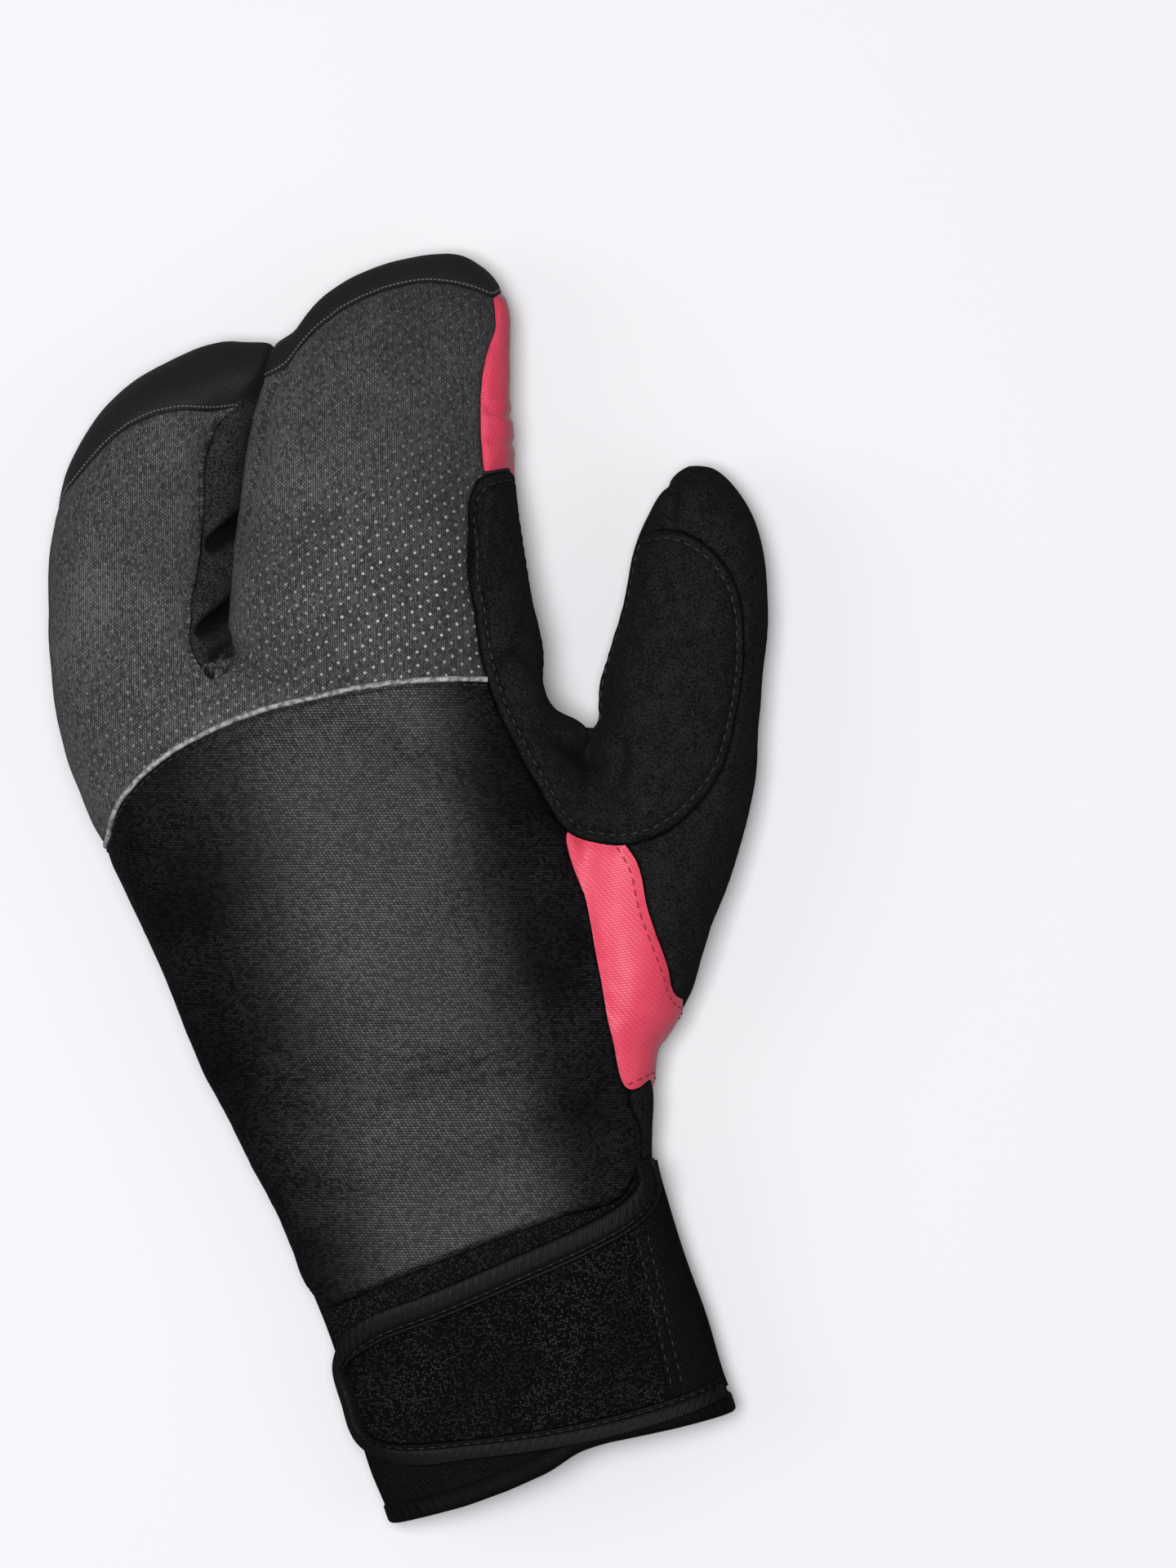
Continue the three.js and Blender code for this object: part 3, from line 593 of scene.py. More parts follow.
def compartmentFields():
    cache = {}

    def share(p):
        key = len(p)
        if key not in cache:
            cache.clear()
            cache[key] = nearerTo(p, compartments[0], compartments[1])
        return cache[key]
    fields = [lambda p: -hemLine(p)]
    for name, field, side in panelFields:
        if side == 0:
            fields.append(lambda p, field=field: np.minimum(field(p), share(p)))
        elif side == 1:
            fields.append(lambda p, field=field: np.minimum(field(p), -share(p)))
        elif name == "finger_gusset":
            # The grey knit rolls over the slot's edge on the index side
            fields.append(lambda p, field=field: np.minimum(field(p), np.maximum(
                share(p), 0.36 * mitt["depth"] - p[:, 2])))
        else:
            fields.append(field)
    return fields


bm, owner = cutPanels(skin, compartmentFields())
cutAway = [f for f in bm.faces if f[owner] == 1]
bmesh.ops.delete(bm, geom=cutAway, context="FACES")
names = {i + 2: name for i, (name, _, _) in enumerate(panelFields)}
names[0] = rest
bm.verts.index_update()
bm.to_mesh(skin.data)
faceOwner = [names[f[owner]] for f in bm.faces]
faceVerts = [[v.index for v in f.verts] for f in bm.faces]
seamPairs = {}
for e in bm.edges:
    kinds = sorted({names[f[owner]] for f in e.link_faces})
    if len(kinds) == 2:
        seamPairs.setdefault(tuple(kinds), []).append((e.verts[0].index, e.verts[1].index))
bm.free()
skin.data.update()
print("cut into panels:", {name: faceOwner.count(name) for name in sorted(set(faceOwner))})


# Padding: the coarse skin is blown up a little between its seams, and the fine skin follows it

padding = {"voxel": 4.2 * mm, "pressure": 4, "frames": 20, "spare": -0.012, "cap": 2.6 * mm}


def seamTree(pairs):
    used = sorted({i for pair in pairs for edge in seamPairs[pair] for i in edge})
    points = pointsOf(skin)
    tree = KDTree(len(used))
    for i in used:
        tree.insert(points[i], i)
    tree.balance()
    return tree


def distancesTo(tree, points):
    return np.array([tree.find(p)[2] for p in points])


allSeams = seamTree(list(seamPairs))


def puffedPadding():
    pad = closedSkin
    applied(pad, "REMESH", mode="VOXEL", voxel_size=padding["voxel"], adaptivity=0)
    start = relaxed(pointsOf(pad), edgesOf(pad), 2)
    setPoints(pad, start)
    held = distancesTo(allSeams, start)
    weight = 1 - smoothStep(1.5 * mm, 9 * mm, held)
    cuffTop = place(0, 0.25)[1]
    weight = np.maximum(weight, 1 - smoothStep(cuffTop, cuffTop + 40 * mm, start[:, 1]))
    group = pad.vertex_groups.new(name="sewn")
    for i, w in enumerate(weight):
        group.add([i], float(w), "REPLACE")
    bpy.context.view_layer.objects.active = pad
    cloth = pad.modifiers.new("Cloth", "CLOTH")
    cloth.settings.quality = 6
    cloth.settings.mass = 0.2
    cloth.settings.tension_stiffness = 12
    cloth.settings.compression_stiffness = 12
    cloth.settings.shear_stiffness = 5
    cloth.settings.bending_stiffness = 3.0
    cloth.settings.use_pressure = True
    cloth.settings.uniform_pressure_force = padding["pressure"]
    cloth.settings.shrink_min = padding["spare"]
    cloth.settings.vertex_group_mass = "sewn"
    cloth.settings.effector_weights.gravity = 0
    cloth.point_cache.frame_start = 1
    cloth.point_cache.frame_end = padding["frames"]
    scene = bpy.context.scene
    for number in range(1, padding["frames"] + 1):
        scene.frame_set(number)
    shown = pad.evaluated_get(bpy.context.evaluated_depsgraph_get())
    flat = np.empty(len(shown.data.vertices) * 3)
    shown.data.vertices.foreach_get("co", flat)
    moved = flat.reshape(-1, 3) - start
    length = np.linalg.norm(moved, axis=1, keepdims=True)
    moved *= np.minimum(1, padding["cap"] / np.maximum(length, 1e-9))
    pad.modifiers.remove(cloth)
    scene.frame_set(1)
    return start, relaxed(moved, edgesOf(pad), 3)


def followPadding(points):
    start, moved = puffedPadding()
    tree = KDTree(len(start))
    for i, p in enumerate(start):
        tree.insert(p, i)
    tree.balance()
    result = points.copy()
    for i, p in enumerate(points):
        near = tree.find_n(p, 5)
        share = np.array([1 / (d + 0.4 * mm)**2 for _, _, d in near])
        result[i] += (share[:, None] * moved[[n for _, n, _ in near]]).sum(axis=0) / share.sum()
    bpy.data.objects.remove(closedSkin)
    print("padding moved by at most", round(float(np.abs(result - points).max()) / mm, 2), "mm")
    return result


# Folds and dents seen in the photograph: the side, a line in mm from the wrist, depth and width in mm
folds = [
    ("slot", [(-20, 95), (-25, 91.5), (-32, 88)], 5.0, 2.4),
    ("slot", [(-25, 77), (-31, 73), (-38, 69)], 4.5, 2.2),
    ("slot", [(-31, 66), (-34, 64), (-38, 63)], 1.8, 1.6),
    ("back", [(36, 30), (42, 22), (47, 15)], 1.6, 2.6),
    ("back", [(52.5, 25), (51.7, 20), (50, 14)], 1.5, 1.4),
    ("back", [(32, 43), (35, 39), (39, 33)], -2.0, 4.0),
    ("back", [(29, 45), (31, 48), (33.6, 48.8), (35.6, 46.5), (36.4, 43)], 1.7, 1.4),
    ("back", [(27.5, 42), (31, 36), (36, 29)], 0.9, 2.2),
    ("back", [(35, 89.3), (31.4, 80.5), (27.8, 68), (26.9, 63)], 1.9, 1.1),
    ("back", [(79.2, 80), (76.5, 74), (74.2, 68)], 1.4, 1.0),
    ("back", [(44, 60), (45, 50), (43, 40)], 0.9, 4.5),
    ("back", [(60, 8), (66, 2), (70, -6)], 0.5, 5.0),
    ("back", [(-58, -10), (-52, -22), (-44, -30)], 0.7, 5.0),
    ("back", [(-52, -38), (-44, -44), (-34, -48)], 0.8, 5.0),
    ("back", [(-50, -60), (-42, -63), (-36, -64)], 0.6, 4.0),
    ("back", [(34, -30), (24, -36), (14, -38)], 0.5, 5.0),
    ("back", [(34, -52), (26, -58), (12, -62)], 0.7, 5.0),
    ("back", [(-62, 62), (-52, 58), (-44, 59)], 0.6, 6.0),
    ("back", [(8, 70), (22, 67), (34, 69)], 0.4, 7.0),
    ("strip", [(36, 107), (41, 104.5), (47, 102)], 0.75, 0.9),
    ("strip", [(36, 99), (41, 97.4), (47, 95.5)], 0.5, 0.9),
    ("palm", [(-70, 60), (-50, 57), (-30, 56), (-20, 59)], 1.6, 4.5),
    ("palm", [(-68, 80), (-50, 77), (-32, 78), (-20, 82)], 1.3, 4.5),
    ("palm", [(-14, 58), (5, 55), (25, 56), (40, 58)], 1.7, 4.5),
    ("palm", [(-14, 82), (5, 79), (25, 80), (42, 84)], 1.2, 4.5),
    ("palm", [(-60, 98), (-46, 94), (-30, 96)], 0.7, 5.0),
    ("palm", [(0, 100), (16, 97), (34, 100)], 0.7, 5.0),
    ("palm", [(-30, 20), (-10, 5), (4, -18)], 0.8, 7.0),
    ("palm", [(40, 30), (48, 12), (50, -10)], 0.7, 6.0),
]


def lineDistance(points, line):
    best = np.full(len(points), 1.0)
    where = np.zeros(len(points))
    total = len(line) - 1
    for k in range(total):
        a, b = line[k], line[k + 1]
        edge = b - a
        t = np.clip(((points - a) @ edge) / max(edge @ edge, 1e-12), 0, 1)
        gap = np.linalg.norm(points - a - t[:, None] * edge, axis=1)
        closer = gap < best
        best[closer] = gap[closer]
        where[closer] = (k + t[closer]) / total
    return best, where


def foldDepth(points, normals, inPanel):
    depth = np.zeros(len(points))
    for side, line, deep, wide in folds:
        line = np.array([(mitt["wrist"][0] + x * mm, mitt["wrist"][1] + (y + 141.5) * mm)
                         for x, y in line])
        line = curveThrough(line, 3 * mm)
        gap, where = lineDistance(points[:, :2], line)
        facing = -normals[:, 2] if side == "palm" else normals[:, 2]
        share = smoothStep(-0.15, 0.45, facing)
        share = inPanel.get(side, share) * np.sin(np.clip(where, 0.04, 0.96) * math.pi)**0.6
        wide = wide * mm
        depth += share * deep * mm * (np.exp(-(gap / wide)**2)
                                      - 0.4 * np.exp(-((gap - 2.1 * wide) / (1.1 * wide))**2))
    return depth


def onPanel(name, count):
    mask = np.zeros(count, bool)
    for face, who in zip(faceVerts, faceOwner):
        if who == name:
            mask[face] = True
    return mask


def pressSlot(points, normals, edges):
    # The two compartments lean on each other low in the slot, so no floor shows between them
    tree = BVHTree.FromPolygons([tuple(p) for p in points], faceVerts)
    low, high = place(-0.36, 0.70), place(0.10, 0.975)
    near = np.all((points[:, :2] > low) & (points[:, :2] < high), axis=1)
    near &= np.abs(normals[:, 0]) > 0.12
    shift = np.zeros(len(points))
    for i in np.where(near)[0]:
        way = Vector((1 if normals[i, 0] > 0 else -1, 0, 0))
        start = Vector(points[i]) + way * 0.3 * mm
        spot, hit, _, far = tree.ray_cast(start, way, 10 * mm)
        if spot is None or hit.x * way.x > 0:
            continue
        shift[i] = way.x * max(0.5 * (far + 0.3 * mm) - 0.15 * mm, 0)
    depth = mitt["depth"]
    low = smoothStep(0.62 * depth, 0.42 * depth, points[:, 2])
    tips = smoothStep(place(0, 0.90)[1], place(0, 0.94)[1], points[:, 1])
    shift *= np.maximum(low, tips)
    shift = relaxed(shift, edges, 12)
    points = points.copy()
    points[:, 0] += shift
    return points


# Small sideways shifts of the outline, in mm: where, how far, and over what radius
shifts = [((31.5, 36.0), (-4.6, -0.3), 6.5), ((37.0, 28.5), (2.6, -1.6), 5.5), ((49, 51), (1.5, 0), 12.0)]
slotLine = {"along": [56, 62, 68, 74, 80, 88, 95, 103, 114],
            "middle": [-36, -36, -36, -35, -34, -31, -28.5, -25.5, -22],
            "shift": [-3.0, -4.4, -4.2, -3.0, -1.6, -0.2, 0.8, 1.2, 0.6]}
hemLift = {"across": [-60, -50, -33, -22.6, -12, -4.6, 2, 9, 20, 34, 60],
           "rise": [0.6, 0.8, 0.1, 0.5, 1.6, 3.9, 3.8, 2.9, 1.6, 0.3, 0.3]}


def shiftOutline(points):
    # The slot leans to the outer side, the crotch is widened, and the hem has a step below the strap
    points = points.copy()
    y = points[:, 1] / mm
    middle = np.interp(y, slotLine["along"], slotLine["middle"])
    amount = np.interp(y, slotLine["along"], slotLine["shift"], left=0, right=0)
    amount *= smoothStep(50, 58, y) * smoothStep(124, 112, y) * smoothStep(0.2, 0.5, points[:, 2] / mitt["depth"])
    points[:, 0] += amount * mm * np.exp(-((points[:, 0] / mm - middle) / 9.0)**2)
    for spot, way, radius in shifts:
        gap = np.linalg.norm(points[:, :2] / mm - spot, axis=1)
        points[:, :2] += np.exp(-(gap / radius)**2)[:, None] * np.array(way) * mm
    rise = np.interp(points[:, 0] / mm, hemLift["across"], hemLift["rise"]) * mm
    points[:, 1] += rise * smoothStep(-120, -138, y)
    return points


def shapeSkin():
    points = followPadding(pointsOf(skin))
    setPoints(skin, points)
    edges = edgesOf(skin)
    points = shiftOutline(pressSlot(points, normalsOf(skin), edges))
    setPoints(skin, points)
    gap = distancesTo(allSeams, points)
    normals = relaxed(normalsOf(skin), edges, 4)
    count = len(points)
    hemGap = distancesTo(seamTree([("back_panel", "cuff")]), points)
    ledge = onPanel("back_panel", count) * 1.3 * mm * np.exp(-(hemGap / (9 * mm))**2)
    ledge *= smoothStep(0, 1.6 * mm, hemGap)
    saddle = onPanel("thumb_saddle", count) * smoothStep(-0.2, 0.2, normals[:, 2])
    rim = saddle * 0.65 * mm * np.exp(-((gap - 1.3 * mm) / (0.8 * mm))**2)
    groove = saddle * np.exp(-((gap - 2.7 * mm) / (0.6 * mm))**2)
    inSlot = onPanel("finger_gusset", count) * smoothStep(0, 2.5 * mm, gap)
    strip = 1.4 * mm * inSlot
    onCuff = 1 - smoothStep(place(0, 0.20)[1], place(0, 0.26)[1], points[:, 1])
    soft = 1 - 0.85 * onCuff
    valley = 0.55 * mm * np.exp(-(gap / (4.5 * mm))**2) + 0.55 * mm * np.exp(-(gap / (1.1 * mm))**2)
    lumps = 0.40 * mm * fieldNoise(points, 24 * mm, 3.1) + 0.12 * mm * fieldNoise(points, 8 * mm, 8.4)
    pucker = 0.24 * mm * fieldNoise(points, 3.4 * mm, 1.3) * np.exp(-(gap / (3.4 * mm))**2)
    x = points[:, 0] - mitt["wrist"][0]
    gatherBand = np.exp(-((points[:, 1] - place(0, 0.264)[1]) / (7.5 * mm))**2)
    gatherBand *= smoothStep(-0.2, 0.3, -normals[:, 2]) * np.clip(0.4 + (x + 20 * mm) / (40 * mm), 0.35, 1)
    bend = fieldNoise(points * np.array([1, 0.35, 1]), 12 * mm, 5.5)
    gather = 0.95 * mm * np.sin(2 * math.pi * (x / (5.2 * mm) + 0.9 * bend)) * gatherBand
    out = soft * (lumps + gather) - (0.35 + 0.65 * soft) * valley + pucker
    inStrip = onPanel("index_accent", count) * smoothStep(0.4 * mm, 2.4 * mm, gap)
    fold = foldDepth(points, normals, {"slot": inSlot, "strip": inStrip})
    out -= soft * fold + 0.35 * mm * groove
    crotch = np.array([34.5 * mm, 25.0 * mm])
    web = np.exp(-(np.linalg.norm(points[:, :2] - crotch, axis=1) / (7.5 * mm))**2)
    web *= 2.6 * mm * smoothStep(0.9, 0.2, np.abs(normals[:, 2]))
    out += ledge + rim + strip + web
    points = points + normals * out[:, None]
    lift = np.maximum(points[:, 2], 0.0)
    flat = np.where(points[:, 2] < 1.2 * mm, 0.35 * np.maximum(points[:, 2], 0), lift)
    blend = smoothStep(0.3 * mm, 1.6 * mm, points[:, 2])
    points[:, 2] = blend * lift + (1 - blend) * flat
    setPoints(skin, points)
    # Painted shade: the colour is darkened in the deep folds and along the saddle's groove, where shade falls
    paintedShade = np.maximum(smoothStep(0.5 * mm, 2.2 * mm, fold), 0.45 * groove)
    return gap, paintedShade


seamGaps, paintedCreaseShade = shapeSkin()
print("folds, puckers and gathers are in")

skinTree = BVHTree.FromPolygons([tuple(p) for p in pointsOf(skin)], faceVerts)


# Materials

def nodeTree(name):
    material = bpy.data.materials.new(name)
    material.use_nodes = True
    return material, material.node_tree


def link(tree, source, target):
    tree.links.new(source, target)


def makeGroup(name, inputs, outputs):
    group = bpy.data.node_groups.new(name, "ShaderNodeTree")
    for label, kind, value in inputs:
        socket = group.interface.new_socket(label, in_out="INPUT", socket_type=kind)
        if value is not None:
            socket.default_value = value
    for label, kind in outputs:
        group.interface.new_socket(label, in_out="OUTPUT", socket_type=kind)
    return group, group.nodes.new("NodeGroupInput"), group.nodes.new("NodeGroupOutput")


def math2(tree, operation, a, b=None, c=None, clamp=False):
    node = tree.nodes.new("ShaderNodeMath")
    node.operation = operation
    node.use_clamp = clamp
    for socket, value in zip(node.inputs, (a, b, c)):
        if value is None:
            continue
        if isinstance(value, (int, float)):
            socket.default_value = value
        else:
            tree.links.new(value, socket)
    return node.outputs[0]


def noiseNode(tree, vector, scale, detail=3, rough=0.55):
    node = tree.nodes.new("ShaderNodeTexNoise")
    node.inputs["Scale"].default_value = scale
    node.inputs["Detail"].default_value = detail
    node.inputs["Roughness"].default_value = rough
    tree.links.new(vector, node.inputs["Vector"])
    return node.outputs["Fac"]


def ramp(tree, value, low, high):
    node = tree.nodes.new("ShaderNodeMapRange")
    node.interpolation_type = "SMOOTHSTEP"
    node.inputs["From Min"].default_value = low
    node.inputs["From Max"].default_value = high
    tree.links.new(value, node.inputs["Value"])
    return node.outputs["Result"]


def weaveGroup():
    # Rows of short raised threads, each row shifted against the last. Pitch in metres.
    group, entry, leave = makeGroup(
        "threadRows",
        [("Vector", "NodeSocketVector", None), ("Row Pitch", "NodeSocketFloat", 0.0008),
         ("Thread Length", "NodeSocketFloat", 0.0016), ("Shift", "NodeSocketFloat", 0.5),
         ("Wobble", "NodeSocketFloat", 0.15)],
        [("Height", "NodeSocketFloat"), ("Row", "NodeSocketFloat"), ("Tone", "NodeSocketFloat")])
    split = group.nodes.new("ShaderNodeSeparateXYZ")
    group.links.new(entry.outputs["Vector"], split.inputs[0])
    uneven = noiseNode(group, entry.outputs["Vector"], 420, 2)
    uneven = math2(group, "MULTIPLY", math2(group, "SUBTRACT", uneven, 0.5), entry.outputs["Wobble"])
    row = math2(group, "ADD", math2(group, "DIVIDE", split.outputs["Y"], entry.outputs["Row Pitch"]), uneven)
    number = math2(group, "FLOOR", row)
    along = math2(group, "DIVIDE", split.outputs["X"], entry.outputs["Thread Length"])
    along = math2(group, "ADD", along, math2(group, "MULTIPLY", number, entry.outputs["Shift"]))
    along = math2(group, "ADD", along, uneven)
    across = math2(group, "SINE", math2(group, "MULTIPLY", math2(group, "FRACT", row), math.pi))
    lengthwise = math2(group, "SINE", math2(group, "MULTIPLY", math2(group, "FRACT", along), math.pi))
    height = math2(group, "MULTIPLY", across, math2(group, "POWER", lengthwise, 0.6))
    cell = group.nodes.new("ShaderNodeCombineXYZ")
    group.links.new(number, cell.inputs[0])
    group.links.new(math2(group, "FLOOR", along), cell.inputs[1])
    tone = group.nodes.new("ShaderNodeTexWhiteNoise")
    tone.noise_dimensions = "2D"
    group.links.new(cell.outputs[0], tone.inputs["Vector"])
    group.links.new(tone.outputs["Value"], leave.inputs["Tone"])
    group.links.new(height, leave.inputs["Height"])
    group.links.new(across, leave.inputs["Row"])
    return group


def fleckGroup():
    # Small light points on a slightly uneven grid, some bright and most faint
    group, entry, leave = makeGroup(
        "flecks",
        [("Vector", "NodeSocketVector", None), ("Spacing", "NodeSocketFloat", 0.0016),
         ("Size", "NodeSocketFloat", 0.25), ("Uneven", "NodeSocketFloat", 0.35),
         ("Rare", "NodeSocketFloat", 0.3)],
        [("Mask", "NodeSocketFloat")])
    scale = math2(group, "DIVIDE", 1.0, entry.outputs["Spacing"])
    cells = group.nodes.new("ShaderNodeTexVoronoi")
    cells.voronoi_dimensions = "2D"
    group.links.new(entry.outputs["Vector"], cells.inputs["Vector"])
    group.links.new(scale, cells.inputs["Scale"])
    group.links.new(entry.outputs["Uneven"], cells.inputs["Randomness"])
    spot = math2(group, "SUBTRACT", 1.0, math2(group, "DIVIDE", cells.outputs["Distance"],
                                              entry.outputs["Size"]), clamp=True)
    split = group.nodes.new("ShaderNodeSeparateColor")
    group.links.new(cells.outputs["Color"], split.inputs[0])
    chance = math2(group, "SUBTRACT", split.outputs[0], entry.outputs["Rare"], clamp=True)
    mask = math2(group, "MULTIPLY", math2(group, "POWER", spot, 0.8), chance)
    group.links.new(mask, leave.inputs["Mask"])
    return group


def napGroup():
    # Short brushed pile: cloudy shade, fine grain and a height for the bump
    group, entry, leave = makeGroup(
        "nap",
        [("Vector", "NodeSocketVector", None), ("Grain", "NodeSocketFloat", 1400.0),
         ("Cloud", "NodeSocketFloat", 90.0)],
        [("Shade", "NodeSocketFloat"), ("Height", "NodeSocketFloat")])
    def noiseOf(scaleSocket, detail):
        node = group.nodes.new("ShaderNodeTexNoise")
        node.inputs["Detail"].default_value = detail
        node.inputs["Roughness"].default_value = 0.65
        group.links.new(entry.outputs["Vector"], node.inputs["Vector"])
        group.links.new(entry.outputs[scaleSocket], node.inputs["Scale"])
        return node.outputs["Fac"]
    fine = noiseOf("Grain", 4)
    cloud = noiseOf("Cloud", 3)
    shade = math2(group, "ADD", math2(group, "MULTIPLY", fine, 0.95), math2(group, "MULTIPLY", cloud, 0.22))
    group.links.new(shade, leave.inputs["Shade"])
    group.links.new(math2(group, "ADD", fine, math2(group, "MULTIPLY", cloud, 0.6)), leave.inputs["Height"])
    return group


def dotGroup():
    # A staggered grid of round dots, each with a brightness of its own
    group, entry, leave = makeGroup(
        "dotGrid",
        [("Vector", "NodeSocketVector", None), ("Row Pitch", "NodeSocketFloat", 0.001),
         ("Spacing", "NodeSocketFloat", 0.002), ("Size", "NodeSocketFloat", 0.0004)],
        [("Mask", "NodeSocketFloat")])
    split = group.nodes.new("ShaderNodeSeparateXYZ")
    group.links.new(entry.outputs["Vector"], split.inputs[0])
    drift = noiseNode(group, entry.outputs["Vector"], 160, 2)
    drift = math2(group, "MULTIPLY", math2(group, "SUBTRACT", drift, 0.5), 0.5)
    row = math2(group, "DIVIDE", split.outputs["Y"], entry.outputs["Row Pitch"])
    row = math2(group, "ADD", row, drift)
    number = math2(group, "FLOOR", row)
    along = math2(group, "DIVIDE", split.outputs["X"], entry.outputs["Spacing"])
    along = math2(group, "ADD", along, math2(group, "MULTIPLY", number, 0.35))
    across = math2(group, "MULTIPLY", math2(group, "SUBTRACT", math2(group, "FRACT", row), 0.5),
                   entry.outputs["Row Pitch"])
    aside = math2(group, "MULTIPLY", math2(group, "SUBTRACT", math2(group, "FRACT", along), 0.5),
                  entry.outputs["Spacing"])
    cell = group.nodes.new("ShaderNodeCombineXYZ")
    group.links.new(number, cell.inputs[0])
    group.links.new(math2(group, "FLOOR", along), cell.inputs[1])
    chance = group.nodes.new("ShaderNodeTexWhiteNoise")
    chance.noise_dimensions = "2D"
    group.links.new(cell.outputs[0], chance.inputs["Vector"])
    far = math2(group, "SQRT", math2(group, "ADD", math2(group, "MULTIPLY", across, across),
                                     math2(group, "MULTIPLY", aside, aside)))
    spot = math2(group, "SUBTRACT", 1.0, math2(group, "DIVIDE", far, entry.outputs["Size"]), clamp=True)
    own = math2(group, "ADD", math2(group, "MULTIPLY", chance.outputs["Value"], 0.65), 0.35)
    group.links.new(math2(group, "MULTIPLY", math2(group, "POWER", spot, 0.7), own), leave.inputs["Mask"])
    return group


def spotMask(tree, vector, middle, radius):
    # One at a point of the object, fading out towards the radius
    node = tree.nodes.new("ShaderNodeVectorMath")
    node.operation = "DISTANCE"
    tree.links.new(vector, node.inputs[0])
    node.inputs[1].default_value = middle
    return ramp(tree, node.outputs["Value"], radius, 0.0)


threadRows = weaveGroup()
dotGrid = dotGroup()
flecks = fleckGroup()
nap = napGroup()


def useGroup(tree, group, vector, **values):
    node = tree.nodes.new("ShaderNodeGroup")
    node.node_tree = group
    tree.links.new(vector, node.inputs["Vector"])
    for key, value in values.items():
        node.inputs[key.replace("_", " ")].default_value = value
    return node


def mixColour(tree, share, a, b):
    node = tree.nodes.new("ShaderNodeMix")
    node.data_type = "RGBA"
    for socket, value in ((node.inputs["Factor"], share), (node.inputs["A"], a), (node.inputs["B"], b)):
        if isinstance(value, (tuple, float, int)):
            socket.default_value = value if isinstance(value, (float, int)) else (*value, 1)
        else:
            tree.links.new(value, socket)
    return node.outputs["Result"]


def addBump(tree, height, distance, strength=1.0, under=None):
    node = tree.nodes.new("ShaderNodeBump")
    node.inputs["Distance"].default_value = distance
    node.inputs["Strength"].default_value = strength
    tree.links.new(height, node.inputs["Height"])
    if under is not None:
        tree.links.new(under, node.inputs["Normal"])
    return node.outputs["Normal"]


def creaseShadeOf(tree, wide=0.9 * mm):
    # Painted shade: one at a seam, nothing a millimetre away from it, and the painted crease shade in deep folds
    node = tree.nodes.new("ShaderNodeAttribute")
    node.attribute_name = "seam"
    fold = tree.nodes.new("ShaderNodeAttribute")
    fold.attribute_name = "fold"
    return math2(tree, "MAXIMUM", ramp(tree, node.outputs["Fac"], wide, 0.1 * mm), fold.outputs["Fac"])


def uvOf(tree, turn=0.0):
    node = tree.nodes.new("ShaderNodeUVMap")
    node.uv_map = "cloth"
    if not turn:
        return node.outputs["UV"]
    mapping = tree.nodes.new("ShaderNodeMapping")
    mapping.inputs["Rotation"].default_value = (0, 0, turn)
    tree.links.new(node.outputs["UV"], mapping.inputs["Vector"])
    return mapping.outputs["Vector"]


def objectCoords(tree):
    return tree.nodes.new("ShaderNodeTexCoord").outputs["Object"]


def shaderOf(tree, **values):
    shader = tree.nodes["Principled BSDF"]
    for key, value in values.items():
        socket = shader.inputs[key.replace("_", " ")]
        if isinstance(value, bpy.types.NodeSocket):
            tree.links.new(value, socket)
        else:
            socket.default_value = value if isinstance(value, (int, float)) else (*value, 1)
    return shader


def knitMaterial():
    material, tree = nodeTree("greyKnit")
    place3 = objectCoords(tree)
    wale = useGroup(tree, threadRows, uvOf(tree, math.radians(103)), Row_Pitch=0.00052,
                    Thread_Length=0.0008, Shift=0.5, Wobble=0.3)
    dots = useGroup(tree, dotGrid, uvOf(tree, math.radians(-83.4)), Row_Pitch=0.00203, Spacing=0.0031,
                    Size=0.00043)
    grain = ramp(tree, noiseNode(tree, place3, 1900, 3, 0.7), 0.34, 0.72)
    ribs = ramp(tree, noiseNode(tree, place3, 38, 2), 0.40, 0.62)
    # Painted highlight: the dots are brighter in a patch on the index side and a weaker patch on the outer side,
    # where the light falls
    bright = spotMask(tree, place3, (0.000, 0.062, 0.03), 0.046)
    second = spotMask(tree, place3, (-0.052, 0.042, 0.03), 0.040)
    paintedHighlightArea = math2(tree, "ADD", bright, math2(tree, "MULTIPLY", second, 0.30))
    tone = math2(tree, "ADD", 0.25, wale.outputs["Tone"])
    weave = math2(tree, "MULTIPLY", wale.outputs["Height"], tone)
    weave = math2(tree, "MULTIPLY", weave, math2(tree, "ADD", 0.75, math2(tree, "MULTIPLY", ribs, 0.5)), clamp=True)
    split = tree.nodes.new("ShaderNodeSeparateXYZ")
    tree.links.new(place3, split.inputs[0])
    # Painted light: the weave is lighter towards the outer side, where the side light falls, and darker to the
    # right
    outer = math2(tree, "ADD", 0.64, math2(tree, "MULTIPLY", ramp(tree, split.outputs["X"], 0.02, -0.045), 0.62))
    weave = math2(tree, "MULTIPLY", weave, outer)
    base = mixColour(tree, weave, (0.006, 0.006, 0.007), (0.158, 0.158, 0.165))
    base = mixColour(tree, math2(tree, "MULTIPLY", grain, 0.25), base, (0.080, 0.080, 0.085))
    # The dots take the painted highlight
    light = math2(tree, "MULTIPLY", dots.outputs["Mask"], math2(tree, "ADD", 0.13, paintedHighlightArea))
    light = math2(tree, "MULTIPLY", light, 1.25, clamp=True)
    base = mixColour(tree, light, base, (0.80, 0.81, 0.85))
    # Painted shade: the knit darkens to near black in the seams and deep folds
    base = mixColour(tree, math2(tree, "MULTIPLY", creaseShadeOf(tree), 0.8), base, (0.004, 0.004, 0.005))
    normal = addBump(tree, wale.outputs["Height"], 0.00016, 0.8)
    normal = addBump(tree, dots.outputs["Mask"], 0.00025, 0.8, normal)
    shaderOf(tree, Base_Color=base, Roughness=0.75, Sheen_Weight=0.05, Sheen_Roughness=0.4,
             Specular_IOR_Level=0.30, Normal=normal)
    return material


